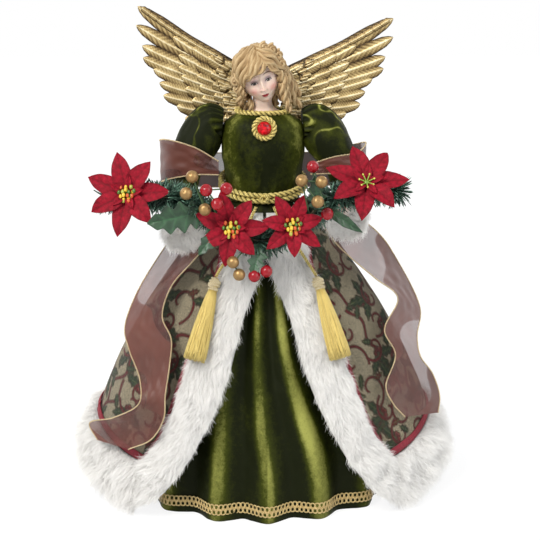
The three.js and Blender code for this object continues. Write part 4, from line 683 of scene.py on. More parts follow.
# The front fur's edges, from the waist down: inner height and width, then outer.
FUR_TABLE = np.array([
    [0.975, 0.03, 0.975, 0.77], [0.91, 0.03, 0.91, 0.58], [0.83, 0.03, 0.83, 0.47], [0.75, 0.11, 0.75, 0.46],
    [0.66, 0.19, 0.67, 0.475], [0.58, 0.22, 0.6, 0.49], [0.505, 0.245, 0.53, 0.505], [0.43, 0.28, 0.46, 0.52],
    [0.36, 0.32, 0.395, 0.535], [0.29, 0.37, 0.33, 0.555], [0.22, 0.42, 0.27, 0.59],
    [0.15, 0.49, 0.225, 0.63], [0.08, 0.57, 0.2, 0.66], [0.028, 0.69, 0.178, 0.672]])
CORNER = math.asin(0.69)
HEM_RISE = 26.0  # how much higher the coat's hem is at the sides and back than at its corners


def hem_rise(ang):
    a = np.mod(np.asarray(ang, float), TURN)
    return HEM_RISE * step(np.minimum(a, TURN - a), CORNER, math.pi / 2)


def edge_angle(h):
    """The coat's edge: 8 mm inside the fur's inner edge."""
    share = np.asarray(h, float) / WAIST
    inner = np.arcsin(np.interp(share, FUR_TABLE[::-1, 0], FUR_TABLE[::-1, 1]))
    return inner + 8.0 / coat_half(h)


# Gown skirt: velvet, in deep folds that open from the waist.

def wrapped(ang):
    """An angle as its turn from the front, from -pi to pi."""
    return np.mod(ang + math.pi, TURN) - math.pi


def crest_of(value, width):
    """1 where the value is 0, and less beside it."""
    return np.exp(-(value / width) ** 2)


def make_gown_skirt():
    cols, rows = 640, 120
    A, H = np.meshgrid(circle(cols), np.linspace(1, 0, rows) ** 0.9 * WAIST, indexing="xy")
    k = flare(H)
    base = gown(A, H, 0)
    noise = lambda stretch, size, octaves=2, shift=0: noise3(base * [1, 1, stretch] + shift, size, octaves)
    # Above the hem the front folds draw together and lean toward the left.
    up = step(H, 22, 190)
    turn = wrapped(A)
    bent = A + up * crest_of(turn, 0.75) * (0.55 * turn + 0.16) + 0.07 * up * noise(0.5, 55.0, 1, 15)
    phase = GOWN_FOLDS * bent + 0.5 * np.sin(3 * bent)
    wave = 0.5 - 0.5 * np.cos(phase)
    soft = noise(1, 34.0)
    fine = noise(0.45, 9.0)
    out = 1.6 * soft * k + 0.7 * fine * k + 0.3 * noise(1, 5.0, 1)
    out = out + 0.77 * k * (0.5 - wave) * np.cos(2 * phase)
    pts = gown_oval(A, H, np.clip(out, -2.2, 2.0) - GOWN_FOLD * wave * k)
    # The crests of the folds get painted highlights, each of its own strength and width.
    drift = phase + 0.45 * noise(0.30, 30.0, 2, 70)
    near = 0.5 - 0.5 * np.cos(drift)
    kinds = 64
    fold = np.round(drift / TURN).astype(int) % kinds
    strong = np.random.default_rng(5).uniform(0.45, 1.05, kinds)[fold]
    wide = np.random.default_rng(8).uniform(0.55, 1.9, kinds)[fold]
    opened = step(k, 0.02, 0.35)
    crest_highlight = strong * crest_of(near + 0.03 * soft, wide * (0.12 + 0.08 * (0.5 + 0.5 * fine))) * opened
    crest_highlight = crest_highlight * np.clip(0.60 + 0.85 * noise(0.4, 24.0, 2, 40), 0.1, 1.1)
    crest_highlight = np.clip(0.80 * crest_highlight + 0.30 * strong * crest_of(near, 0.34) * opened, 0, 1)
    # Painted light: one side of each fold is lighter, as if lit; crushed patches vary at random.
    lean = 0.5 + 0.5 * np.sin(phase + 0.8)
    crush = noise(0.30, 7.0)
    patch = np.clip(noise(0.6, 20.0, 3, 9), 0, 1)
    lit_side_and_patches = 0.30 * lean ** 2 * (0.6 + 0.4 * soft) + 0.22 * patch
    tone = 0.07 + 0.92 * crest_highlight + lit_side_and_patches * (1 - crest_highlight) + 0.10 * fine * crush + 0.06 * crush
    # The tone is darker toward the hem.
    tone = np.clip(tone * (0.75 + 0.25 * step(H, 0, 60)), 0.0, 1.0)
    faces = grid_faces(rows, cols, close_cols=True, flip=True)
    return make("gown_skirt_cloth", pts, faces, mat_velvet, replaces=["gown_skirt"], slot="velvet",
                colors=tone, uv=np.stack([A * 100, H], -1), solid=1.2)


gown_cloth = make_gown_skirt()

# Bodice

# Heights, widths and depths up the torso.
TORSO = np.array([[250.6, 62, 54], [262, 62.5, 54.3], [276, 66, 56.5], [290, 69.5, 58], [303, 70, 57],
                  [313, 67.5, 53.5], [318, 58, 46], [322, 45, 36], [325, 38.6, 30.6]])


def crush_lines(p, size=13.0, thin=0.10):
    """Thin creases of crushed velvet, broken here and there: a mask for raising them and for painting
    highlights on them.
    """
    there = np.clip(0.5 + 1.4 * noise3(p + 61, 1.6 * size, 1), 0, 1)
    return crest_of(noise3(p * [1, 1, 0.7] + 33, size, 2), thin) * there


def make_bodice():
    cols, rows = 260, 110
    A = np.tile(circle(cols), (rows, 1))
    H, W, D = (np.repeat(column[:, None], cols, 1) for column in Curve(TORSO).many(np.linspace(0, 1, rows)).T)
    base = oval(W, D, A, 0.0, H)
    gather = np.sin(22 * A + 1.5 * np.sin(3 * A)) * crest_of(H - 258, 12)
    crease = noise3(base * [1, 1, 0.5], 16.0, 2)
    lines = crush_lines(base)
    out = 0.5 * gather + 0.9 * crease + 0.35 * noise3(base, 5.0, 1) + 0.35 * lines - 0.4
    pts = oval(W, D, A, np.clip(out, -1.6, 1.0), H)
    # Painted shade and highlight: the tone is lighter where the creases bulge out and darker in their
    # hollows, with highlights painted on the crush lines.
    tone = (0.27 + 0.22 * crease + 0.20 * noise3(base + 20, 26.0, 2)
            + 0.12 * noise3(base * [1, 1, 0.5], 6.0, 2))
    tone = tone + 0.10 * lines + 0.08 * noise3(base, 1.8, 1)
    # Painted highlights down both sides of the bodice.
    glow = crest_of(np.abs(np.sin(A)) - 0.80, 0.17) * (0.75 + 0.6 * noise3(base + 50, 11.0, 2))
    return make("bodice_cloth", pts, grid_faces(rows, cols, close_cols=True), mat_velvet,
                replaces=["gown_bodice"], slot="velvet", colors=np.clip(tone + 0.44 * glow, 0, 1),
                uv=np.stack([A * 34, H], -1), solid=0.8)


make_bodice()

# Fur: a soft base under many fine tapered strands that lie down the coat.

def surface_normals(pts):
    return unit(np.cross(np.gradient(pts, axis=1), np.gradient(pts, axis=0)))


def strands(roots, normals, flow, length, width, rise, clump, seed, segs=3):
    """Vertices, faces and tones of thin tapered strips. They leave along the
    normal and bend over into the flow."""
    # Strands are painted darker toward the root, as shade deep in the pile.
    curl, root_shade = 0.5, 0.74
    r = np.random.default_rng(seed)
    n = len(roots)
    wild = np.stack([noise3(roots + off, clump, 2) for off in ((0, 0, 0), (91, 17, 5), (7, 63, 40))], -1)
    jitter = r.normal(size=(n, 3)) * 0.28
    way = unit(flow + 1.5 * curl * wild + jitter * 0.9)
    side = unit(np.cross(way, normals) + r.normal(size=(n, 3)) * 0.8)
    stray = unit(wild + 0.4 * jitter)
    long = (length * (0.65 + 0.6 * r.random(n)))[:, None]
    lift = (rise * (0.5 + 0.8 * r.random(n)))[:, None]
    verts, tones = [], []
    for k in range(segs):
        t = k / segs
        centre = roots + way * long * t * (0.35 + 0.65 * t) + normals * lift * t * (2 - t) * (1 - 0.35 * t)
        centre = centre + stray * (curl * 1.6 * t * t)
        half = 0.5 * width * (1 - t) ** 0.7
        verts += [centre - side * half, centre + side * half]
        tones += [np.full(n, lerp(root_shade, 1.0, min(1, t * 1.6)))] * 2
    verts.append(roots + way * long + normals * lift * 0.65 + stray * (curl * 1.6))
    tones.append(np.ones(n))
    c = np.stack(tones, 1) * (0.93 + 0.07 * r.random((n, 1)))
    base = (np.arange(n) * len(verts))[:, None]
    faces = []
    for k in range(0, 2 * segs - 2, 2):
        faces += (base + [k, k + 1, k + 3, k + 2]).tolist()
    faces += (base + [2 * segs - 2, 2 * segs - 1, 2 * segs]).tolist()
    return np.stack(verts, 1).reshape(-1, 3), faces, c.ravel()


def sample_grid(pts, count, seed):
    """Random places on a grid of points, even in area: roots, normals and
    their fractional rows and columns."""
    r = np.random.default_rng(seed)
    corner = pts[:-1, :-1]
    area = np.linalg.norm(np.cross(pts[1:, :-1] - corner, pts[:-1, 1:] - corner), axis=-1)
    i, j = np.divmod(r.choice(area.size, size=count, p=(area / area.sum()).ravel()), area.shape[1])
    fi, fj = r.random(count), r.random(count)

    def mix(g):
        low, high = (lerp(g[i + e, j], g[i + e, j + 1], fj[:, None]) for e in (0, 1))
        return lerp(low, high, fi[:, None])

    return mix(pts), unit(mix(surface_normals(pts))), i + fi, j + fj


def fur_pile(name, node, batch):
    return batch.build(name, mat_fur, replaces=[node], slot="fur")


FUR_BASE = 0.62  # share of the fur's thickness under the strands
FUR_LUMP = 1.7
GROUND = 0.4  # the longest hairs lie on the ground
BAND_TOP = 22  # columns of a fur band that grow strands


def band_grid(stations):
    """A closed fur band over the coat, from stations that hold both edges."""
    a = np.linspace(0, math.pi, BAND_TOP)
    top = np.stack([0.5 - 0.5 * np.cos(a), np.maximum(np.sin(a), 0) ** 0.5 * FUR_BASE], -1)
    bottom = np.stack([np.linspace(1, 0, 6)[1:-1], np.zeros(4)], -1)
    prof = np.concatenate([top, bottom])
    A, H = between(stations, prof[:, 0])
    rough = noise3(coat(A, H, 3.0), 13.0, 2) * FUR_LUMP
    return coat(A, H, CLOTH + TRIM_GAP + prof[None, :, 1] * (FUR + rough))


def make_fur_band(node, grid, flow_of, count, length, rise, seed, trim=None, inset=0.0):
    """Strands grow on the band's top, away from its edges by the inset."""
    rows, cols = grid.shape[:2]
    roots, normals, fi, fj = sample_grid(grid[:, :BAND_TOP], count, seed)
    along, across = fi / rows, fj / BAND_TOP
    keep = (across > inset) & (across < 1 - inset) if inset else slice(None)
    roots, normals, along, across = roots[keep], normals[keep], along[keep], across[keep]
    if trim is not None:
        cut = trim(across)
        length, rise = length * cut, rise * cut
    # The normals face away from the axis and a little up.
    outward = np.stack([roots[:, 0], roots[:, 1] * 1.1, np.full(len(roots), 20.0)], -1)
    normals[np.einsum("ij,ij->i", normals, outward) < 0] *= -1
    v, f, c = strands(roots, normals, flow_of(roots, along, across), length, 0.55, rise, 9.0, seed)
    v[:, 2] = np.maximum(v[:, 2], GROUND)
    b = Batch()
    # The base under the strands is painted darker, as shade under the pile.
    b.add(grid, capped(rows, cols), 0.80 + 0.06 * noise3(grid, 7.0, 1))
    b.add(v, f, c)
    return fur_pile(node + "_pile", node, b)


def make_front_fur(name, side):
    heights, edges = FUR_TABLE[:, ::2] * WAIST, side * np.arcsin(FUR_TABLE[:, 1::2])
    stations = np.stack([edges[:, 0], heights[:, 0], edges[:, 1], heights[:, 1]], -1)
    grid = band_grid(Curve(stations).many(np.linspace(0, 1, 90)))
    band_way = unit(np.gradient(grid[:, :BAND_TOP].mean(1), axis=0))

    def flow(roots, along, across):
        rows = np.linspace(0, 1, len(band_way))
        down = np.stack([np.interp(along, rows, band_way[:, k]) for k in range(3)], -1)
        return unit(down + (across - 0.5)[:, None] * 0.25 * np.array([side, 0.1, 0.0]))

    trim = lambda across: 0.55 + 0.45 * np.sin(np.pi * np.clip(across, 0, 1)) ** 0.7
    make_fur_band(name + "_front_fur", grid, flow, 36000, 9.0, 3.0, 5 + side, trim, 0.10)


def make_hem_fur():
    low_h, low_w, high_h, high_w = FUR_TABLE[-1]
    t = np.linspace(0, 1, 150)
    edges = []
    for height, width in ((low_h, low_w), (high_h, high_w)):
        start = math.asin(width) + SOFT_GAP / (COAT_W / 2)
        ang = lerp(start, TURN - start, t)
        edges += [ang, height * WAIST + hem_rise(ang)]

    def flow(roots, along, across):
        down = np.stack([roots[:, 0] * 0.004, roots[:, 1] * 0.004, np.full(len(roots), -1.0)], -1)
        return unit(down + (0.3 - across)[:, None] * np.array([0, 0, -0.6]))

    make_fur_band("hem_fur", band_grid(np.stack(edges, -1)), flow, 58000, 11.0, 4.5, 9)


make_front_fur("left", -1)
make_front_fur("right", 1)
make_hem_fur()

# Coat: woven tapestry, drawn sprig by sprig on the cloth.

BEIGE = np.array([0.60, 0.55, 0.42])
GREEN, PALE, RED = (0.026, 0.055, 0.021), (0.20, 0.26, 0.11), (0.19, 0.013, 0.016)
BROWN, SHINE = (0.075, 0.045, 0.022), (0.62, 0.2, 0.17)
SPRIG_PITCH, SPRIG_ROWS, SPRIG_SIZE = 26.0, 23.0, 23.0


class Cloth:
    """A patch of cloth, flat, with the colour of each of its points."""

    def __init__(self, tone, x, y):
        self.tone, self.x, self.y = tone, x, y

    def paint(self, mask, color, strength=1.0):
        w = np.clip(mask, 0, 1)[:, None] * strength
        self.tone = self.tone * (1 - w) + np.array(color) * w

    def leaf(self, ax, ay, angle, length, width, color=GREEN):
        c, s = math.cos(angle), math.sin(angle)
        dx, dy = self.x - ax, self.y - ay
        a, b = (dx * c + dy * s) / length, -dx * s + dy * c
        inside = (a > 0) & (a < 1)
        aa = np.clip(a, 0, 1)
        lobes = 1 - 0.30 * np.abs(np.cos(3.5 * math.pi * aa)) ** 2
        d = width * np.sin(math.pi * aa ** 0.85) ** 0.75 * lobes - np.abs(b)
        self.paint(np.where(inside, d / 0.7 + 0.5, 0), BROWN)
        self.paint(np.where(inside, (d - 0.9) / 0.7, 0), color)
        vein = np.where(inside & (d > 0.8), np.clip(1 - np.abs(b) / 0.55, 0, 1), 0)
        ribs = np.abs(np.mod(a * 5 - np.abs(b) / width * 0.9, 1) - 0.5) / 0.12
        ribs = np.where(inside & (d > 1.0), np.clip(1 - ribs, 0, 1), 0)
        self.paint(np.maximum(vein, 0.55 * ribs), PALE, 0.8)

    def dot(self, ax, ay, radius):
        dx, dy = self.x - ax, self.y - ay
        d = np.hypot(dx, dy)
        self.paint((radius - d) / 0.6 + 0.5, BROWN)
        self.paint((radius - 0.7 - d) / 0.6 + 0.5, RED)
        self.paint((radius * 0.35 - np.hypot(dx + radius * 0.3, dy - radius * 0.3)) / 0.5, SHINE, 0.7)

    def line(self, away, half, edge, near=1.0):
        """A red line with a brown edge, at a distance from its middle."""
        self.paint(np.clip((half + edge - away) / 0.6, 0, 1) * near, BROWN, 0.8)
        self.paint(np.clip((half - away) / 0.6, 0, 1) * near, RED)

    def scroll(self, ax, ay, turn, size, flip=1):
        dx, dy = (self.x - ax) * flip, self.y - ay
        r, th = np.hypot(dx, dy), np.arctan2(dy, dx) - turn
        best = np.full(len(r), 1e9)
        for k in range(3):
            ang = th + TURN * k
            gap = np.abs(r - size * (0.12 + 0.16 * ang))
            best = np.where((ang > 0) & (ang < 5.4), np.minimum(best, gap), best)
        self.line(best, 1.35, 0.55)

    def sprig(self, kind, turn, size, r):
        c, s = math.cos(turn), math.sin(turn)
        if kind == 0:
            for off, long in ((-1.15, 0.9), (0.0, 1.1), (1.15, 0.9)):
                self.leaf(0, 0, turn + off, size * long, size * 0.25)
            self.scroll(-8 * c, -8 * s, turn + 2.4, size * 0.62)
            for k in (-1, 0, 1):
                a = turn + math.pi + k * 0.85
                self.dot(3.6 * math.cos(a), 3.6 * math.sin(a), 2.8)
        elif kind == 1:
            self.scroll(0, 0, turn, size * 0.8, 1 if r.random() < 0.5 else -1)
            self.leaf(size * 0.5 * c, size * 0.5 * s, turn + 0.6, size * 0.6, size * 0.17)
            self.leaf(-size * 0.4 * c, -size * 0.4 * s, turn + 3.6, size * 0.55, size * 0.16, RED)
        else:
            a, q = self.x * c + self.y * s, -self.x * s + self.y * c
            near = np.clip((26 - np.abs(a)) / 2, 0, 1)
            self.line(np.abs(q - 4.2 * np.sin(a / 5.4)) * 0.8, 1.4, 0.6, near)
            for k in (-1, 1):
                self.leaf(k * 12 * c, k * 12 * s, turn + 0.9 * k, size * 0.6, size * 0.17)


def weave_sprigs(flat, normals, tone):
    """Rows of sprigs round the cloth, each drawn on the points near its place."""
    r = np.random.default_rng(12)
    for row, level in enumerate(np.arange(240.0, 4.0, -SPRIG_ROWS)):
        k = float(flare(level))
        around = math.pi * (lerp(WAIST_W, COAT_W, k) + lerp(WAIST_D, COAT_D, k)) / 2
        count = max(3, int(around / SPRIG_PITCH))
        for j in range(count):
            ang = TURN * (j + 0.5 * (row % 2) + r.uniform(-0.12, 0.12)) / count
            middle = coat(ang, level + r.uniform(-2.5, 2.5), CLOTH / 2)
            idx = np.nonzero(np.linalg.norm(flat - middle, axis=1) < 30)[0]
            if not len(idx):
                continue
            normal = unit(normals[idx].mean(0))
            across = unit(np.cross(np.array([0, 0, 1.0]), normal))
            d = flat[idx] - middle
            patch = Cloth(tone[idx], d @ across, d @ np.cross(normal, across))
            patch.sprig((0, 1, 0, 2)[(j + 3 * row) % 4], r.uniform(0, TURN), SPRIG_SIZE, r)
            tone[idx] = patch.tone


def make_coat():
    cols, rows = 800, 245
    levels = np.linspace(0.985 * WAIST, 9.0, rows)
    start = edge_angle(levels)[:, None]
    A = lerp(start, TURN - start, np.linspace(0, 1, cols))
    H = lerp(levels[-1] + hem_rise(A), levels[0], ((levels - levels[-1]) / (levels[0] - levels[-1]))[:, None])
    base = coat(A, H, 0)
    soft = noise3(base * [1, 1, 0.5], 38.0, 2) * flare(H)
    pts = coat(A, H, np.clip(CLOTH / 2 + 0.9 * soft + 0.25 * noise3(base, 9.0, 1), 0.0, CLOTH))
    flat = pts.reshape(-1, 3)
    tone = BEIGE * (0.93 + 0.10 * noise3(flat, 6.0, 2))[:, None]
    weave_sprigs(flat, surface_normals(pts).reshape(-1, 3), tone)
    shade = 0.86 + 0.14 * (0.5 + 0.5 * np.cos(COAT_FOLDS * A)) * flare(H) + 0.06 * soft
    tone = tone * np.clip(shade, 0.6, 1.05).reshape(-1, 1)
    return make("coat_cloth", pts, grid_faces(rows, cols), mat_tapestry, replaces=["coat"], slot="tapestry",
                colors=tone, uv=np.stack([A * 125, 1.25 * H], -1), solid=1.4)


coat_cloth = make_coat()

EDGING_W = 6.0


def make_edging():
    """Burgundy piping strip beside the fur: down the right edge, round the hem
    and up the left."""
    def beside(side):
        for _, _, share, width in FUR_TABLE[1:-1]:
            h = share * WAIST
            half = float(coat_half(h))
            near = math.asin(width) + SOFT_GAP / half
            yield [side * near, h, side * (near + EDGING_W / half), h]

    _, _, share, width = FUR_TABLE[-1]
    low = share * WAIST + SOFT_GAP
    start = math.asin(width) + EDGING_W / float(coat_half(low))
    ring = [lerp(start, TURN - start, k / 24) for k in range(25)]
    ring = [[a, low + float(hem_rise(a)), a, low + EDGING_W + float(hem_rise(a))] for a in ring]
    back = [[TURN + a, b, TURN + c, d] for a, b, c, d in list(beside(-1))[::-1]]
    rows = 900
    line = Curve(list(beside(1)) + ring + back).many(np.linspace(0, 1, rows))
    prof = np.array([[0, 0], [0.06, 0.8], [0.25, 1.15], [0.5, 1.25], [0.75, 1.15], [0.94, 0.8], [1, 0],
                     [0.5, 0]])
    A, H = between(line, prof[:, 0])
    ribs = 0.12 * np.sin(np.arange(rows) * 2.1)[:, None] * (prof[:, 1] > 0.5)
    return make("coat_edging_cloth", coat(A, H, CLOTH + 0.6 + prof[:, 1] * 1.3 + ribs),
                capped(rows, len(prof)), mat_burgundy, replaces=["coat_edging"], slot="burgundy")


make_edging()


# Hem braid: two rows of small loops along the gown's folds, on two middle threads.

BRAID_LOW, BRAID_HIGH, BRAID_HALF = 5.5, 14.5, math.radians(60)
LOOP_PITCH, LOOP_HALF = 3.7, 1.62


def make_braid():
    b = Batch()
    fine = np.linspace(-BRAID_HALF, BRAID_HALF, 4000)
    mid, quarter = (BRAID_LOW + BRAID_HIGH) / 2, (BRAID_HIGH - BRAID_LOW) / 4
    dist = lengths(gown(fine, mid, 0))
    total = dist[-1]
    count = int(total / LOOP_PITCH)
    a = circle(18)
    for row, turned_by in enumerate((1, -1)):
        for k in range(count):
            s = (k + 0.5 + 0.5 * row) / (count + 0.5) * total
            y = np.sin(a) * quarter * 1.02 + 0.35 * turned_by * np.cos(2 * a)
            lift = 0.55 + 0.25 * np.sin(a + k)
            ang = np.interp(s + np.cos(a) * LOOP_HALF, dist, fine)
            pts = gown(ang, mid + turned_by * quarter + y, SOFT_GAP + 0.35 + lift * 0.8)
            b.tube(pts, 0.60, 6, 0.95 + 0.05 * math.sin(1.7 * k), closed=True)
    steps = 1400
    ang = np.interp(np.linspace(0, total, steps), dist, fine)
    for level in (mid - 0.45, mid + 0.45):
        pts = gown(ang, level + 0.25 * np.sin(np.arange(steps) * 0.9), SOFT_GAP + 0.75)
        b.tube(pts, 0.48, 5, (0.8, 0.72, 0.6))
    return b.build("hem_braid_loops", mat_braid, replaces=["hem_braid"], slot="gold_cord")


make_braid()

# Arms: puffed velvet sleeves and fur cuffs.

SHOULDER, ELBOW, SLEEVE_R = 313, 276, 16.3
ARMS = {}
for _name, _side, _wrist in (("left", -1, 233.0), ("right", 1, 243.0)):
    _sh, _el = _side * 46.0, _side * 67.0
    ARMS[_name] = Curve([
        (0.7 * _sh, 0, SHOULDER), (_sh, 0, SHOULDER), (lerp(_sh, _el, 0.6), -6, lerp(SHOULDER, ELBOW, 0.45)),
        (_el, -12, ELBOW), (_el, -34.5, lerp(ELBOW, _wrist, 0.62)), (_side * 66.0, -57, _wrist)])


def make_sleeve(name):
    rows, cols = 230, 220
    t = np.linspace(0.02, 0.985, rows)
    line = ARMS[name].many(t)
    _, n, b = frames_along(line, up=(0, 1, 0))
    A, T = np.meshgrid(circle(cols), t, indexing="xy")
    r = np.interp(T, [0, 0.15, 0.35, 0.6, 0.8, 1], [0.72, 1.0, 1.0, 0.85, 0.72, 0.55]) * SLEEVE_R
    ends = crest_of(T - 0.06, 0.14) + 0.8 * crest_of(T - 0.97, 0.14)
    gather = np.sin(15 * A + 2.2 * np.sin(2 * A + 1) + 5 * T) * ends
    base = swept(line, n, b, A, r)
    crease = noise3(base * [1, 1, 0.7], 13.0, 2)
    fold = np.sin(4 * A + 9 * T + 3 * crease) * 0.5
    pts = swept(line, n, b, A, r + 0.85 * gather + 1.1 * crease + 0.5 * fold)
    # The cloth hangs full toward the body.
    inward = -np.sign(line[-1, 0])
    facing = np.clip((pts - line[:, None])[..., 0] * inward / 14.0, 0, 1)
    pts[..., 0] += inward * 5.5 * facing * crest_of(T - 0.36, 0.17)
    # Painted shade and highlight: the tone is lighter where the gathers, creases and folds stand out and
    # darker between them, with highlights painted on the crush lines.
    tone = 0.12 + 0.22 * gather + 0.50 * crease + 0.22 * fold + 0.22 * noise3(base * [1, 1, 0.4], 6.0, 1)
    tone = np.clip(tone + 0.66 * crush_lines(base, 17.0, 0.055), 0, 1)
    return make(name + "_sleeve_cloth", pts, capped(rows, cols), mat_velvet, replaces=[name + "_sleeve"],
                slot="velvet", colors=tone)


# Radius and place along the arm, for the cuff and for the fur that closes its mouth.
CUFF = [[12.2, -8], [13.0, -9.2], [14.0, -9.4], [14.9, -7], [15.1, 0], [14.9, 7], [14.0, 9.4], [13.0, 9.2],
        [12.2, 8], [12.2, 0]]
MOUTH = [[12.9, 8.0], [11.2, 8.8], [9.0, 8.8], [6.4, 8.0], [3.2, 6.8], [0.3, 6.2]]


def make_cuff(name):
    rows, cols = 60, 40
    tip = ARMS[name].at(1.0)
    along = unit(tip - ARMS[name].at(0.98))
    centre = tip - along * 5.0
    n = unit(np.cross(along, (0, 0, 1)))
    b = np.cross(along, n)
    a = circle(rows)[:, None, None]

    def round_arm(profile):
        radius, place = (profile[None, :, k, None] for k in (0, 1))
        return centre + radius * (np.cos(a) * n + np.sin(a) * b) + place * along

    def sown(grid, count, seed):
        """Roots on a grid that closes on itself, and which way out and along they lie."""
        roots = sample_grid(np.concatenate([grid, grid[:1]]), count, seed)[0]
        far = ((roots - centre) @ along)[:, None]
        return roots, unit(roots - centre - far * along), far

    ring = round_arm(Curve(CUFF, closed=True).many(np.linspace(0, 1, cols, endpoint=False)))
    ring = ring + noise3(ring, 7.0, 1)[..., None] * 0.5 * unit(ring - centre)
    mouth = round_arm(np.array(MOUTH))
    pile = Batch()
    # The cuff's base and mouth are painted darker, as shade under the pile.
    pile.add(ring, grid_faces(rows, cols, close_cols=True, close_rows=True), 0.68)
    pile.add(mouth, grid_faces(rows, len(MOUTH), close_rows=True), 0.68)
    roots, out, far = sown(ring, 9000, 21)
    normals = unit(out + np.clip(far / 10.0, -1, 1) * along * 0.9)
    flow = unit(along * 0.9 + 0.2 * out + np.array([0, 0, -0.35]))
    pile.add(*strands(roots, normals, flow, 6.5, 0.5, 3.0, 5.0, 31, segs=2))
    # Fur closes in round the hand at the cuff's mouth.
    roots, out, far = sown(mouth, 3000, 22)
    normals, flow = unit(along + 0.3 * out), unit(0.5 * along + 0.8 * out)
    pile.add(*strands(roots, normals, flow, 4.6, 0.5, 2.4, 5.0, 32, segs=2))
    return fur_pile(name + "_cuff_pile", name + "_cuff", pile)


for _name in ("left", "right"):
    make_sleeve(_name)
    make_cuff(_name)

# Gold cords

BELT_LEVEL, BELT_RISE, NECK = 254.94, 18, 325
BROOCH = np.array([0.0, -30.1, SHOULDER])


def torso_at(h):
    """The width and depth of the torso's solid at a height."""
    rows = np.array([[250, 62, 54], [290, 70, 58], [313, 70, 54], [323, 38, 30.0]])
    return (np.interp(h, rows[:, 0], rows[:, k]) for k in (1, 2))


def make_belt():
    b = Batch()
    a = circle(160)
    level = BELT_LEVEL + BELT_RISE * (0.5 - 0.5 * np.cos(a))
    w, d = torso_at(level)
    for sign in (-1, 1):
        twisted(b, oval(w, d, a, 3.3, level + sign * 2.35), 2.4, 9.0, closed=True, sides=8, phase=sign)
    # Three loops make the knot in front.
    middle = oval(*torso_at(BELT_LEVEL), 0.0, 5.6, BELT_LEVEL)
    t = circle(60)
    for tilt, rad, off in ((0.5, 2.9, -0.6), (-0.6, 2.9, 0.4), (1.5, 2.6, 0.9)):
        c, s = math.cos(tilt), math.sin(tilt)
        x, y, z = rad * np.cos(t), 1.5 * np.sin(t) + off * 0.5, 2.0 * np.sin(t)
        loop = np.stack([x * c - z * s, y, x * s + z * c], -1) + middle
        twisted(b, loop, 1.55, 5.5, closed=True, phase=tilt)
    return b.build("belt_twist", mat_cord, replaces=["belt_cord"], slot="gold_cord")


def make_collar():
    b = Batch()
    a = circle(120)
    line = oval(38, 30, a, 2.8, NECK - 1.1 * (0.5 + 0.5 * np.cos(a)))
    twisted(b, line, 2.4, 8.0, closed=True, sides=8)
    return b.build("collar_twist", mat_cord, replaces=["collar_cord"], slot="gold_cord")


def make_brooch():
    b = Batch()
    for radius, y, thick, pitch, sides in ((8.5, 0.0, 2.1, 7.0, 8), (6.4, -0.3, 0.7, 2.6, 5)):
        twisted(b, BROOCH + turned([radius], [y], 120)[0], thick, pitch, closed=True, sides=sides)
    b.build("brooch_twist", mat_cord, replaces=["brooch_cord"], slot="gold_cord")
    # A cut stone: an eight-sided table, three rings of facets and a flat back.
    sides = 16
    rings = turned((2.6, 4.4, 5.7, 5.8), (-3.6, -2.9, -1.2, 0.2), sides)
    rings[0, 1::2] = rings[0, ::2]
    verts = np.concatenate([[(0, -3.7, 0)], rings.reshape(-1, 3), [(0, 0.6, 0)]])
    faces = []
    for k in range(sides):
        j = (k + 1) % sides
        faces.append([0, 1 + j, 1 + k])
        for q in range(1, 1 + 3 * sides, sides):
            faces.append([q + k, q + j, q + sides + j, q + sides + k])
        faces.append([1 + 3 * sides + k, 1 + 3 * sides + j, 1 + 4 * sides])
    stone = Batch()
    stone.add(verts + BROOCH, faces)
    return stone.build("brooch_stone", mat_gem, replaces=["brooch_gem"], slot="gem_red", smooth=False)


make_belt()
make_collar()
make_brooch()


# Tassels on their cords

TASSEL_ANGLE, TASSEL_TOP, TASSEL_FALL = 26, 0.79, 0.85 * 69
TASSEL_SIDES = 20
HEAD_TALL, HEAD_R_MM, SKIRT_FROM, SKIRT_LONG, THREADS, INNER = 11, 3.9, 11.3, 58, 300, 230


def over_fur(side, angle, share, thick, radius):
    return coat(side * math.radians(angle), share * WAIST, CLOTH + SOFT_GAP + thick * FUR + radius)


def turn_to(along):
    """Rotation that takes -Y to a direction, as columns."""
    return np.array(Vector((0, -1, 0)).rotation_difference(Vector(along)).to_matrix())


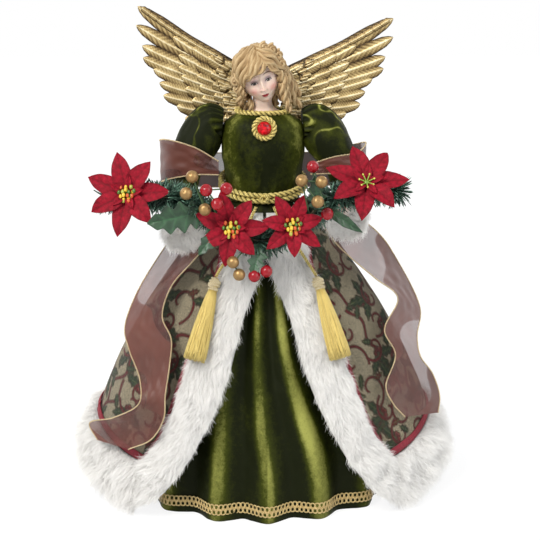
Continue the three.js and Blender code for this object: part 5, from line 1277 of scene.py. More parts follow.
def make_tassel(name, side):
    body = name + "_tassel"
    top = over_fur(side, TASSEL_ANGLE, TASSEL_TOP, 1.1, 4.4)
    low = over_fur(side, TASSEL_ANGLE, TASSEL_TOP - TASSEL_FALL / WAIST, 1.1, 6.0)
    R = turn_to(unit(low - top))
    place = lambda p: np.asarray(p, float) @ R.T + top
    build = lambda batch, end, mat, node: batch.build(
        body + end, mat, body=body, replaces=[body + node], slot="gold_cord")
    # Head: threads wound over a knot.
    b = Batch()
    prof = np.array([[0.3, 0], [0.55, 0.04], [0.95, 0.3], [1, 0.55], [0.8, 0.85], [0.95, 1.0]])
    fine = Curve(prof).many(np.linspace(0, 1, 26))
    core = turned(fine[:, 0] * HEAD_R_MM, -fine[:, 1] * HEAD_TALL, TASSEL_SIDES)
    b.add(place(core), capped(len(fine), TASSEL_SIDES), 0.9)
    t = circle(40)
    for down, thick in ((0.16, 0.7), (0.30, 0.85), (0.46, 0.95), (0.62, 0.9), (0.78, 0.7), (0.92, 0.7)):
        r = np.interp(down, prof[:, 1], prof[:, 0]) * 4.3
        tilt = 0.9 * math.sin(31 * down)
        loop = np.stack([r * np.cos(t), -down * HEAD_TALL + tilt * np.cos(t), r * np.sin(t)], -1)
        twisted(b, place(loop), thick, 3.0, closed=True)
    head = build(b, "_knot", mat_knot, "_head")
    # Skirt: straight threads of uneven length round a full core.
    b = Batch()
    r = np.random.default_rng(40 + side)
    prof = np.array([[0.36, 0], [0.52, 0.12], [0.78, 0.45], [0.95, 0.8], [1, 1]])
    width = lambda s: np.interp(s, prof[:, 1], prof[:, 0])
    thread = lambda rr, ang, s: np.stack(
        [rr * np.cos(ang), -(SKIRT_FROM + s * SKIRT_LONG), rr * np.sin(ang)], -1)
    warm = lambda g: (g, g, g * 0.97)
    d = np.linspace(0, 1, 14)
    # The core is painted dark, as shade between the threads.
    core = turned(width(d) * 8.2, -(SKIRT_FROM + d * 54), TASSEL_SIDES)
    b.add(place(core), capped(len(d), TASSEL_SIDES), (0.50, 0.46, 0.36))
    for k in range(THREADS):
        ang = TURN * k / THREADS + r.normal() * 0.03
        s = np.linspace(0, 0.90 + 0.10 * r.random(), 9)
        # A thread that lies deeper in the skirt is painted darker, as shade.
        depth = r.random()
        sway = ang + 0.05 * np.sin(3 * s + k) + 0.16 * r.normal() * s ** 2
        line = thread(width(s) * 9.3 * (0.80 + 0.16 * depth), sway, s)
        b.tube(place(line), 0.33, 5, warm(lerp(0.56, 1.0, depth) * (0.85 + 0.15 * r.random())))
    # The ends of inner threads close the skirt from below.
    for k in range(INNER):
        s = np.linspace(0.85, 1.0 - 0.06 * r.random(), 4)
        line = thread(8.4 * math.sqrt((k + 0.5) / INNER) * s, TURN * 0.382 * k, s)
        b.tube(place(line), 0.42, 5, warm(0.60 + 0.30 * r.random()))
    build(b, "_threads", mat_tassel, "_skirt")
    # Cord, twisted from two strands.
    rows = [(9, 1.0, 1.1), (14, 0.95, 1.1), (21, 0.88, 1.1), (26, 0.81, 1.1)]
    pts = [over_fur(side, *row, 1.3) for row in rows] + [top + [0, 0, 0.8]]
    line = Curve(pts).many(np.linspace(0, 1, 60))
    b = Batch()
    twisted(b, line, 1.4, 4.6, sides=7, phase=side)
    cord = b.build(body + "_cord_twist", mat_cord, replaces=[body + "_cord"], slot="gold_cord")
    P(line[0]).tolist()
    float(lengths(line)[-1] * MM)
    P(line).tolist()


make_tassel("left", -1)
make_tassel("right", 1)

# Ribbon: a sheer wired stole behind the arms, and a tail on each side.

# Angle in degrees, height share and stand-off of one edge, then of the other.
LEFT_TAIL = [
    [-36, 0.97, 1.25, -66, 0.99, 1.15], [-38, 0.87, 1.0, -70, 0.84, 1.0], [-48, 0.75, 0.9, -68, 0.7, 1.0],
    [-46, 0.66, 0.85, -63, 0.6, 1.0], [-37, 0.6, 0.85, -56, 0.54, 0.9], [-35, 0.52, 0.75, -46, 0.46, 0.8],
    [-34, 0.43, 0.7, -42, 0.4, 0.95], [-33, 0.36, 0.65, -52, 0.33, 0.9], [-36, 0.29, 0.65, -66, 0.27, 0.75],
    [-45, 0.235, 0.65, -60, 0.23, 0.7]]
RIGHT_TAIL = [
    [38, 0.97, 1.25, 66, 1.0, 1.35], [44, 0.88, 1.1, 76, 0.9, 1.75], [60, 0.76, 1.0, 88, 0.79, 1.6],
    [70, 0.68, 1.0, 84, 0.62, 1.3], [50, 0.6, 0.9, 68, 0.55, 1.0], [52, 0.52, 0.8, 62, 0.5, 1.1],
    [42, 0.43, 0.7, 68, 0.42, 0.95], [44, 0.37, 0.65, 69, 0.34, 0.85], [48, 0.32, 0.65, 66, 0.29, 0.75]]
# Shares of the stole's half width and depth, then its lower and upper edges.
STOLE = [
    [-0.28, -1.2, 1.0, 1.04], [-0.42, -1.16, 1.0, 1.08], [-0.575, -0.92, 0.985, 1.1],
    [-0.645, -0.25, 0.96, 1.09], [-0.56, 0.55, 0.94, 1.06], [-0.33, 1.16, 0.92, 1.03],
    [0, 1.36, 0.92, 1.03], [0.33, 1.16, 0.92, 1.03], [0.56, 0.55, 0.94, 1.06],
    [0.645, -0.25, 0.96, 1.08], [0.575, -0.92, 0.985, 1.06], [0.42, -1.16, 1.0, 1.05],
    [0.28, -1.2, 1.0, 1.03]]
STOLE_W, STOLE_D = 134, 30


def ribbon_piece(name, node, pairs, rows, seed, share):
    """A ribbon between pairs of edge points. share is lower where more is doubled."""
    pairs = np.asarray(pairs, float)
    ts = np.linspace(0, 1, rows)
    ea, eb = (Curve(pairs[:, k]).many(ts) for k in (0, 1))
    cols = 44
    u = np.linspace(0, 1, cols)
    grid = lerp(ea[:, None], eb[:, None], u[:, None])
    n = surface_normals(grid)
    wave = noise3(grid, 17.0, 2) * 1.1 + 0.25 * np.sin(u * 19 + 3) * np.sin(ts * 60)[:, None]
    grid = grid + n * (wave * np.maximum(np.sin(np.pi * u), 0) ** 0.5)[..., None]
    along = lengths(grid[:, cols // 2])[:, None]
    uv = np.stack(np.broadcast_arrays(u * np.linalg.norm(ea - eb, axis=1).mean(), along), -1)
    # The tone's shade: lighter where the cloth faces up or down, as painted light, and cloudy at random.
    tone = np.clip(0.80 + 0.30 * noise3(grid, 24.0, 2) + 0.25 * np.abs(n[..., 2]), 0.45, 1.25)
    # Where the ribbon was folded over itself it is doubled, in slanting patches.
    fold = np.sin(along / 24.0 + 2.4 * u + seed) + 0.35 * np.sin(along / 11.0 - 3.0 * u)
    doubled = np.clip((fold - share) / 0.06, 0, 1)
    cloth = make(name + "_cloth", grid, grid_faces(rows, cols), mat_ribbon, replaces=[node], slot="ribbon",
                 colors=np.stack([tone, doubled, tone], -1), uv=uv)
    b = Batch()
    for edge in (grid[:, 0], grid[:, -1]):
        twisted(b, edge, 0.62, 2.4, sides=5)
    wires = b.build(name + "_wires", mat_wire_gold, slot="gold_cord")
    size = (lengths(pairs.mean(1))[-1], np.linalg.norm(pairs[:, 0] - pairs[:, 1], axis=1).mean())


def make_tail(name, rows, seed):
    place = lambda a, h, s: coat(math.radians(a), h * WAIST, CLOTH + SOFT_GAP + s * STAND)
    ribbon_piece(name, name, [[place(*r[:3]), place(*r[3:])] for r in rows], 320, seed, -0.15)


make_tail("left_tail", LEFT_TAIL, 1)
make_tail("right_tail", RIGHT_TAIL, 2)
ribbon_piece("ribbon_stole", "stole", [[(x * STOLE_W, y * STOLE_D, h * ELBOW) for h in (low, high)]
                                       for x, y, low, high in STOLE], 420, 3, -0.8)

# Garland: a wire core, dense needles, poinsettias, holly and berries.

def garland_place(x, y, z):
    return np.array([x * 236.0, -y * 86.0, z * 250.0])


GARLAND = Curve([garland_place(*r) for r in (
    (-0.542, 0.78, 1.05), (-0.4, 0.88, 1.065), (-0.27, 0.94, 1.05), (-0.145, 0.985, 0.985), (-0.02, 1, 0.925),
    (0.1, 0.985, 0.98), (0.212, 0.94, 1.05), (0.335, 0.89, 1.085), (0.449, 0.8, 1.07))])
# The same places, even in length.
_g = GARLAND.many(np.linspace(0, 1, 400))
_len = lengths(_g)

# Place along the core, facing, size and turn of each flower.
FLOWER_SPECS = {
    "far_left": (0.075, (-0.15, -0.9, 0.35), 1.08, -15), "left": (0.405, (-0.1, -0.96, 0.12), 0.95, -16),
    "right": (0.6, (0.12, -0.95, 0.3), 0.85, 24), "far_right": (0.87, (0, -0.8, 0.6), 1.06, -16)}
FLOWER_R, NEEDLES, CORE_R = 32.0, 7400, 1.8
NEEDLE_DARK, NEEDLE_MINT = np.array([0.009, 0.036, 0.022]), np.array([0.16, 0.31, 0.22])


def clear_of_flowers(foot, way, long):
    """Which needles don't come through the petals."""
    ok = np.ones(len(foot), bool)
    for share, facing, size, _ in FLOWER_SPECS.values():
        out = unit(facing)
        middle = GARLAND.at(share) + out * 6.5
        for part in (0.5, 1.0):
            d = foot + way * (part * long)[:, None] - middle
            ahead = d @ out
            aside = np.linalg.norm(d - ahead[:, None] * out, axis=1)
            ok &= ~((ahead > 0) & (aside < 0.95 * FLOWER_R * size))
    return ok


def make_garland():
    b = Batch()
    r = np.random.default_rng(77)
    b.tube(GARLAND.many(np.linspace(0, 1, 160)), 1.5, 7, (0.10, 0.075, 0.03))
    t, n, bi = frames_along(_g)
    share = r.random(NEEDLES)
    idx = np.searchsorted(_len, share * _len[-1]).clip(1, 399)
    foot = _g[idx]
    ang = (TURN * r.random(NEEDLES))[:, None]
    lean = r.choice([-1, 1], NEEDLES) * r.uniform(0.25, 0.9, NEEDLES)
    way = np.cos(ang) * n[idx] + np.sin(ang) * bi[idx] + lean[:, None] * t[idx]
    way = unit(way + r.normal(size=(NEEDLES, 3)) * 0.12 + np.array([0, 0, 0.06]))
    long = r.uniform(11.0, 17.4, NEEDLES)
    # The spray stands up longest at the left end.
    long *= 1 + 0.35 * np.clip(1 - share / 0.30, 0, 1) * np.clip(way[:, 2], 0, 1)
    # Behind the core the needles press on the gown, so they are shorter and fewer.
    long *= 1 - 0.35 * np.clip(way[:, 1], 0, 1)
    ok = clear_of_flowers(foot, way, long) & ~((way[:, 1] > 0.5) & (r.random(NEEDLES) < 0.35))
    foot, way, long = foot[ok], way[ok], long[ok][:, None]
    m = len(foot)
    side = unit(np.cross(way, r.normal(size=(m, 3))))
    up = np.cross(side, way)
    droop = np.array([0, 0, -1.0]) * (0.04 * long)
    tint = lerp(NEEDLE_DARK, NEEDLE_MINT, (r.random(m) ** 1.7)[:, None])
    # Each needle is three triangular rings and a tip, painted darker toward its foot, as shade inside the
    # spray, and lighter on its ridge and tip, as painted highlight.
    verts, cols = [], []
    for at, wide in ((0.10, 0.45), (0.55, 0.92), (0.88, 0.66)):
        c = foot + way * long * at + droop * at * at
        verts += [c - side * (wide * 0.85), c + side * (wide * 0.85), c + up * 0.32 * wide]
        cols += [tint * (0.75 + 0.25 * at)] * 2 + [tint * 1.25]
    verts.append(foot + way * long + droop)
    cols.append(tint * 1.4 + 0.02)
    base = (np.arange(m) * len(verts))[:, None]
    edges = ((0, 2), (2, 1), (1, 0))
    faces = []
    for k in (0, 3):
        for a1, a2 in edges:
            faces += (base + [k + a1, k + a2, k + 3 + a2, k + 3 + a1]).tolist()
    for a1, a2 in edges:
        faces += (base + [6 + a1, 6 + a2, 9]).tolist()
    b.add(np.stack(verts, 1), faces, np.stack(cols, 1))
    return b.build("garland_needles", mat_pine, replaces=["garland"], slot="pine")


def core_frame(share, facing, distance):
    out = unit(facing)
    foot = GARLAND.at(share) + out * (CORE_R + 0.3 + distance)
    R = turn_to(out)
    return lambda p: np.asarray(p, float) @ R.T + foot


def bezier(p0, p1, p2, t):
    t = np.asarray(t)[:, None]
    return (1 - t) ** 2 * np.asarray(p0) + 2 * t * (1 - t) * np.asarray(p1) + t * t * np.asarray(p2)


PETAL_SHAPE = Curve([[0, 0.30], [0.2, 0.72], [0.45, 1], [0.7, 0.80], [0.88, 0.40], [1, 0.02]]).many(
    np.linspace(0, 1, 200))


def petal(batch, place, p0, p1, p2, half, facing, fold, seed, rows=30, cols=15):
    """A veined petal along a bend, with painted shade in its vein and rib grooves and toward its root, and a
    darker edge.
    """
    t = np.linspace(0, 1, rows)[:, None]
    line = bezier(p0, p1, p2, t[:, 0])
    tan = unit(np.gradient(line, axis=0))
    side = unit(np.cross(tan, facing))
    up = unit(np.cross(side, tan))
    u = np.linspace(-1, 1, cols)
    away = np.abs(u)
    w = np.interp(t, PETAL_SHAPE[:, 0], np.clip(PETAL_SHAPE[:, 1], 0, 1.05)) * half
    ripple = np.sin(9 * t + np.random.default_rng(seed).uniform(0, 6)) * away ** 2 * 0.7
    vein = crest_of(u, 0.10)
    barbs = 0.5 + 0.5 * np.cos(TURN * (t * 5.5 - away * 0.9))
    rise = fold * away * w + ripple + 0.25 * (barbs - 0.5) * (1 - vein) - 0.5 * vein
    grid = line[:, None] + side[:, None] * (w * u)[..., None] + up[:, None] * rise[..., None]
    # Painted shade: darker in the vein and rib grooves and toward the root, where the petals overlap; darker
    # at the edge too.
    tone = 1.0 - 0.40 * vein - 0.22 * (1 - barbs) * (1 - vein) - 0.30 * away ** 6 + 0.25 * noise3(grid, 7.0,
                                                                                                  2)
    tone = np.clip(tone * lerp(0.62, 1.0, step(t, 0, 0.3)), 0.25, 1.35)
    batch.add(place(grid), grid_faces(rows, cols), tone)


def sphere(rings, cols):
    """Points and faces of a round bead of radius 1."""
    th = np.linspace(0, math.pi, rings + 1)[1:-1, None]
    a = circle(cols)
    middle = np.stack([np.sin(th) * np.cos(a), np.sin(th) * np.sin(a), np.cos(th) + 0 * a], -1)
    v = np.concatenate([[(0, 0, 1)], middle.reshape(-1, 3), [(0, 0, -1)]])
    low = 1 + (rings - 2) * cols
    f = [[0, 1 + k, 1 + (k + 1) % cols] for k in range(cols)]
    f += (grid_faces(rings - 1, cols, close_cols=True)[:, [0, 3, 2, 1]] + 1).tolist()
    f += [[low + k, low + cols, low + (k + 1) % cols] for k in range(cols)]
    return v, f


FRONT = np.array([0, -1.0, 0])
BEAD_GOLD, BEAD_GREEN = (0.78, 0.52, 0.05), (0.16, 0.30, 0.03)
BEAD_COLORS = (BEAD_GOLD, (0.07, 0.16, 0.02), (0.60, 0.10, 0.02), BEAD_GOLD, (0.40, 0.42, 0.06))


def spoke(a):
    return np.array([math.sin(a), 0, math.cos(a)])


def make_poinsettia(name, share, facing, size, turn):
    b, s = Batch(), Batch()
    place = core_frame(share, facing, 7 - 1.2)
    length, width = size * FLOWER_R, size * 14.6
    r = np.random.default_rng(int(1000 * share))
    for i in range(7):
        out = spoke(TURN * i / 7 + math.radians(turn))
        lift = 0.3 if i % 2 else 0.14
        reach = (0.9 if i % 2 else 1.0) * length
        petal(b, place, (0, 0, 0), (out * 0.5 + FRONT * lift) * reach, (out + FRONT * 0.4 * lift) * reach,
              width / 2, FRONT, 0.18, i + int(90 * share))
    for i in range(5):  # small inner petals
        out = spoke(TURN * (i + 0.35) / 5 + math.radians(turn))
        reach = 0.42 * length
        petal(b, place, FRONT * 0.4, (out * 0.45 + FRONT * 0.42) * reach, (out + FRONT * 0.5) * reach,
              width * 0.20, FRONT, 0.3, 40 + i, rows=14, cols=9)
    # Calyx behind
    b.add(place(turned((1.7, 2.6, 3.4, 3.0), (5.8, 2.8, -0.6, -2.0), 12)), capped(4, 12), (0.35, 0.30, 0.30))
    b.build(name + "_poinsettia_petals", mat_petal, replaces=[name + "_poinsettia"], slot="petal_red")
    ball, faces = sphere(7, 10)
    if name == "far_right":  # its stamens are open, on stalks
        for k in range(7):
            d = spoke(TURN * k / 7 + 0.4)
            line = bezier(FRONT * 0.8, d * 2.6 + FRONT * 4.5, d * 6.0 + FRONT * 5.2, np.linspace(0, 1, 9))
            s.tube(place(line), np.linspace(0.62, 0.4, 9), 6, (0.30, 0.42, 0.06))
            s.add(place(ball * 0.85 + line[-1]), faces, (0.62, 0.60, 0.10))
        s.add(place(ball * 2.0 * [1, 0.8, 1] + FRONT * 1.6), faces, BEAD_GREEN)
    else:
        for k in range(19):
            inner = k < 6
            rad = 2.4 if inner else 5.6 + 0.9 * math.sin(2.3 * k)
            tall = (6.2 if inner else 4.9) + 0.7 * math.cos(1.9 * k)
            p = rad * spoke(TURN * (k / 6 if inner else (k - 6) / 13) + 0.22 * k) + FRONT * tall
            s.tube(place(bezier(FRONT * 0.6, p * [0.5, 0.6, 0.5], p, np.linspace(0, 1, 5))), 0.5, 5,
                   BEAD_GREEN)
            bead = ball * [1.35, 1.3, 1.75] * (0.9 + 0.2 * r.random())
            s.add(place(bead + p), faces, BEAD_COLORS[k % 5])
    s.build(name + "_stamen_beads", mat_bead, replaces=[name + "_stamens"], slot="gold_bead")


# Leaf outlines: share of the length and of the half width.
HOLLY = np.array([[0, 0.1], [0.1, 0.4], [0.2, 0.95], [0.28, 0.45], [0.42, 1], [0.52, 0.5], [0.66, 0.9],
                  [0.76, 0.4], [0.86, 0.5], [1, 0.02]])
SLENDER = np.array([[0, 0.15], [0.3, 0.9], [0.6, 1], [0.85, 0.5], [1, 0.02]])
HOLLY_LONG, HOLLY_WIDE = 46.0, 27.0
LEAF_SPECS = {
    "holly_leaf_left": (0.31, (-1, -0.25, -0.15), HOLLY_LONG, HOLLY_WIDE, HOLLY),
    "holly_leaf_low": (0.37, (-0.6, -0.35, -0.75), 0.7 * HOLLY_LONG, 0.56 * HOLLY_WIDE, HOLLY),
    "holly_leaf_middle": (0.5, (-0.25, -0.35, -0.8), 0.61 * HOLLY_LONG, 0.63 * HOLLY_WIDE, HOLLY),
    "holly_leaf_right": (0.7, (-0.1, -0.25, 0.95), 0.65 * HOLLY_LONG, 0.63 * HOLLY_WIDE, HOLLY),
    "slender_leaf": (0.72, (0.8, -0.3, -0.5), 38.0, 9.0, SLENDER)}


def make_leaf(name, share, along, length, width, outline):
    rows, cols = 61, 21
    way = unit(along)
    foot = GARLAND.at(share) + FRONT * (CORE_R + 0.6 + 0.55)
    facing = np.cross(unit(np.cross(way, FRONT)), way)
    if facing[1] > 0:
        facing = -facing
    t = np.linspace(0, 1, rows)[:, None]
    line = bezier(foot, foot + (0.5 * way + 0.16 * facing) * length, foot + (way + 0.06 * facing) * length,
                  t[:, 0])
    side = unit(np.cross(unit(np.gradient(line, axis=0)), facing))
    u = np.linspace(-1, 1, cols)
    away = np.abs(u)
    w = np.interp(t[:, 0], outline[:, 0], outline[:, 1]) * width / 2
    w = lerp(w, np.convolve(np.pad(w, 2, "edge"), np.ones(5) / 5, "valid"), 0.5)[:, None]
    vein = crest_of(u, 0.07)
    ribs = crest_of(np.mod(t * 5.0 - away * 0.6, 1) - 0.5, 0.10) * (1 - vein)
    rise = 0.30 * away * w - 0.5 * vein - 0.35 * ribs + 0.5 * np.sin(9 * t) * u ** 2
    grid = line[:, None] + side[:, None] * (w * u)[..., None] + facing * rise[..., None]
    tone = 0.95 + 1.1 * vein + 0.6 * ribs + 0.25 * noise3(grid, 6.0, 2) - 0.25 * away ** 5
    return make(name + "_blade", grid, grid_faces(rows, cols), mat_leaf, replaces=[name], slot="leaf_green",
                colors=np.stack([tone * 1.05, tone, tone * 0.95], -1), solid=0.5)


# Where each pick leaves the core, and its berries' places.
PICKS = {
    "gold_berries_left": (0.33, [[-0.245, 1.17, 1.14], [-0.265, 1.2, 1.09], [-0.205, 1.2, 1.04]]),
    "red_berries_left": (0.36, [[-0.2, 1.2, 1.1], [-0.135, 1.22, 1.105], [-0.165, 1.25, 1.06]]),
    "gold_berries_middle": (0.47, [[-0.115, 1.16, 0.87], [-0.095, 1.16, 0.83]]),
    "red_berries_middle": (0.52, [[-0.045, 1.16, 0.825], [-0.005, 1.16, 0.84]]),
    "gold_berries_right": (0.67, [[0.11, 1.16, 1.125], [0.175, 1.15, 1.12], [0.16, 1.26, 1.065]]),
    "red_berries_right": (0.69, [[0.15, 1.02, 1.16], [0.195, 1.15, 1.02]])}
BERRY_R = 4.85


def make_berries(name, share, places):
    b, stems = Batch(), Batch()
    core = GARLAND.at(share)
    centres = [garland_place(*p) for p in places]
    ball, ball_faces = sphere(16, 24)
    tip, tip_faces = sphere(6, 8)
    for i, c in enumerate(centres):
        start, sag = (centres[0], 0) if i else (core + FRONT * 2.4, FRONT * 4.9)
        stems.tube(bezier(start, lerp(start, c, 0.5) + sag, c, np.linspace(0, 1, 10)), 0.62, 6)
        # A berry with a small dimple on the side that faces out.
        out = unit(c - core + FRONT * 10)
        rad = BERRY_R - 0.75 * np.exp(-(1 - ball @ out) / 0.02)
        b.add(ball * rad[:, None] + c, ball_faces)
        b.add(tip * 0.55 + c + out * 4.25, tip_faces, 0.2)
    stems.build(name + "_stems", mat_stem, replaces=[name], slot="pine")
    mat, slot = (mat_berry_gold, "gold_bead") if name.startswith("gold") else (mat_berry_red, "red_bead")
    return b.build(name + "_beads", mat, replaces=[name], slot=slot)


make_garland()
for _name, _spec in FLOWER_SPECS.items():
    make_poinsettia(_name, *_spec)
for _name, _spec in LEAF_SPECS.items():
    make_leaf(_name, *_spec)
for _name, _spec in PICKS.items():
    make_berries(_name, *_spec)

# Wings: moulded feathers in antique gold.

# Ends of the main feathers, as shares of the wing's span and rise, from the top.
FEATHER_TIPS = np.array([[1, 1], [1.01, 0.78], [0.95, 0.54], [0.94, 0.4], [0.84, 0.27], [0.78, 0.11],
                         [0.74, -0.04], [0.61, -0.16], [0.53, -0.31], [0.36, -0.4]])
SPAN, RISE, ROOT_TALL, FEATHER_W, FEATHER_T = 91.0, 71.0, 42.0, 12.0, 2.6
PAD_X, PAD_Z, PAD_SIDES = -4.5, -18, 40
WING_ROLL = math.radians(2.7)
WING_Y = float(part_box("left_wing")[1].y / MM - SHIFT[1] / MM) - 1.9


def feather(batch, start, end, bend, width, lift, seed, rows):
    """A moulded feather: a rachis, oblique barbs, a round tip and an edge painted dark as shade.
    The wing lies in the plane of x and z, and -y is its front."""
    cols = 19
    r = np.random.default_rng(seed)
    t = np.linspace(0, 1, rows)[:, None]
    line = bezier(start, bend, end, t[:, 0])
    side = unit(np.cross(unit(np.gradient(line, axis=0)), FRONT))
    u = np.linspace(-1, 1, cols)
    away, crown = np.abs(u), 1 - u ** 2
    w = np.interp(t, [0, 0.1, 0.45, 0.8, 0.92, 0.975, 1], [0.7, 0.86, 1, 0.93, 0.74, 0.42, 0.06]) * width / 2
    w = w * (1 + 0.05 * np.sin(14 * t + r.uniform(0, 6)))
    rachis = crest_of(u, 0.13)
    count = max(6, np.linalg.norm(np.asarray(end) - start) / 2.3)
    barbs = 0.5 + 0.5 * np.sin(TURN * (t * count - away * 1.7))
    rise = 0.9 * crown + 0.85 * rachis + 0.42 * barbs * (1 - rachis) * (0.4 + 0.6 * away)
    rise = rise * lerp(0.75, 1.0, step(t, 0, 0.2))
    under = 0.35 * barbs * (1 - rachis) * crown + 0.5 * rachis
    depth = lift - FEATHER_T * (0.45 + 0.4 * crown) + 0.5 - under
    top, low = (line[:, None] + side[:, None] * (share * w * u)[..., None] + FRONT * up[..., None]
                for share, up in ((1, lift + rise), (0.94, depth)))
    # Painted shade and highlight: darker at the edges, toward the root where the feathers overlap, and on the
    # underside; lighter on the raised rachis, the barb ridges and toward the tip.
    tone = 0.47 + 0.34 * rachis + 0.30 * (barbs - 0.5) * (1 - rachis) - 0.55 * away ** 4 + 0.10 * crown
    tone = tone - 0.42 * (1 - step(t, 0.0, 0.35)) + 0.10 * step(t, 0.85, 1.0)
    tone = np.clip(tone + 0.10 * noise3(top, 9.0, 2), 0, 1)
    batch.add(np.concatenate([top, low[:, ::-1]], 1), capped(rows, 2 * cols),
              np.concatenate([tone, 0.8 * tone[:, ::-1]], 1))


def feather_line(share, reach):
    """Root, end and middle of a feather: share is its place down the fan."""
    place = share * (len(FEATHER_TIPS) - 1)
    a, z = (np.interp(place, range(len(FEATHER_TIPS)), FEATHER_TIPS[:, k]) for k in (0, 1))
    root = np.array([0, 0, ROOT_TALL / 2 * (1 - 2 * share)])
    end = lerp(root, np.array([a * SPAN, 0, z * RISE]), reach)
    return root, end, lerp(root, end, 0.5) + np.array([0, 0, -0.1 * reach * RISE])


def make_wing(name, side):
    b = Batch()

    def one(share, reach, lift, width, seed, rows):
        root, end, bend = feather_line(share, reach)
        feather(b, root, end, bend, width, lift, seed, rows)

    count = len(FEATHER_TIPS)
    for i in range(count):
        one(i / (count - 1), 1, 0.12 * (i % 2) + 0.05 * i, FEATHER_W * 1.06, i, 64)
    for share, n, lift in ((0.66, 8, 1.2), (0.48, 7, 2.0), (0.33, 6, 2.8)):
        for i in range(n):
            reach = share * (1 + 0.05 * math.sin(5 * i))
            one((i + 0.5) / n, reach, lift + 0.1 * (i % 2), FEATHER_W * 1.12, 20 + i, 40)
    # Lumpy small feathers at the root and along the leading edge
    r = np.random.default_rng(5)
    for i in range(46):
        root, end, _ = feather_line(r.uniform(0.0, 0.95), r.uniform(0.06, 0.26))
        start = end + unit(root - end) * r.uniform(6, 9)
        feather(b, start, end, lerp(start, end, 0.5), 6.4, 3.5 + 0.6 * r.random(), 100 + i, 14)
    root, end, bend = feather_line(0, 1)
    for i in range(11):
        t = (0.14 + 0.80 * i / 10) * 0.92
        at, ahead = bezier(root, bend, end, np.array([t, t + 0.02]))
        d = unit(ahead - at)
        at = at + np.array([0, 0, 1.6])
        feather(b, at, at + d * 11, at + d * 5.5, 5.6, 1.9 - 0.06 * i, 300 + i, 16)
    # Root pad with its screw hole
    pad = turned((2.0, 8.6, 9.0, 9.0, 8.6, 2.0), (1.5, 1.5, 0.8, -0.8, -1.5, -1.5), PAD_SIDES)
    b.add(pad + [PAD_X, 0, PAD_Z], grid_faces(6, PAD_SIDES, close_cols=True, close_rows=True), 0.4)
    # Mirrored for the left, placed behind the back and rolled with its pair.
    x, y, z = np.concatenate(b.v).T
    if side < 0:
        b.f = [q[::-1] for q in b.f]
    x, z = side * (x + 18.0), z + 20.0
    c, s = math.cos(WING_ROLL), math.sin(WING_ROLL)
    b.v = [np.stack([x * c + z * s, y + WING_Y, -x * s + z * c + SHOULDER], -1)]
    return b.build(name + "_wing_feathers", mat_gold, replaces=[name + "_wing"], slot="gold_paint")


make_wing("left", -1)
make_wing("right", 1)

# Head, hair and hands. The head is made upright and then bowed and tilted.

def lin(r, g, b):
    """An sRGB colour, 0 to 255, as linear values."""
    c = np.array([r, g, b], float) / 255
    return np.where(c <= 0.04045, c / 12.92, ((c + 0.055) / 1.055) ** 2.4)


_R = Matrix.Rotation(math.radians(-18), 3, "Y") @ Matrix.Rotation(math.radians(14), 3, "X")
HEAD_R = np.array(_R)
HEAD_AT = np.array([-3.0, -8.0, 353.0])


def on_head(p):
    return np.asarray(p, float) @ HEAD_R.T + HEAD_AT


def bell(x, z, cx, cz, w, h):
    return np.exp(-((x - cx) / w) ** 2 - ((z - cz) / h) ** 2)


def face_relief(x, z):
    s = np.abs(x)
    out = -1.9 * bell(s, z, 5.7, 1.7, 3.4, 2.6) + 1.25 * bell(s, z, 6.0, 0.9, 2.3, 1.5)
    out += -0.30 * bell(s, z, 6.4, 2.9, 2.6, 0.5) + 0.55 * bell(s, z, 6.4, 5.2, 4.2, 1.6)
    bridge = np.interp(z, [-7.2, -6.3, -5.2, -2.2, 1.5, 4.0, 7.0], [0.0, 2.9, 4.7, 3.1, 1.8, 1.2, 0.0])
    wide = np.interp(z, [-6.7, -5.0, -1.0, 4.0], [2.0, 1.8, 1.35, 1.8])
    out += bridge * np.exp(-(x / wide) ** 2)
    out += 1.3 * bell(s, z, 2.05, -5.6, 0.95, 1.0) - 0.9 * bell(s, z, 1.15, -6.7, 0.5, 0.45)
    out += 1.1 * bell(x, z, 0, -10.0, 4.6, 3.6) - 0.3 * bell(x, z, 0, -7.9, 0.7, 1.2)
    out += 0.75 * bell(s, z, 0.9, -9.85, 1.5, 0.65) + 0.95 * bell(x, z, 0, -11.9, 2.0, 0.85)
    out += -0.65 * bell(x, z, 0, -10.8, 2.6, 0.33) - 0.5 * bell(x, z, 0, -13.7, 2.4, 0.9)
    out += 1.9 * bell(x, z, 0, -16.6, 3.5, 2.6) + 1.25 * bell(s, z, 8.2, -5.6, 4.0, 4.4)
    return out


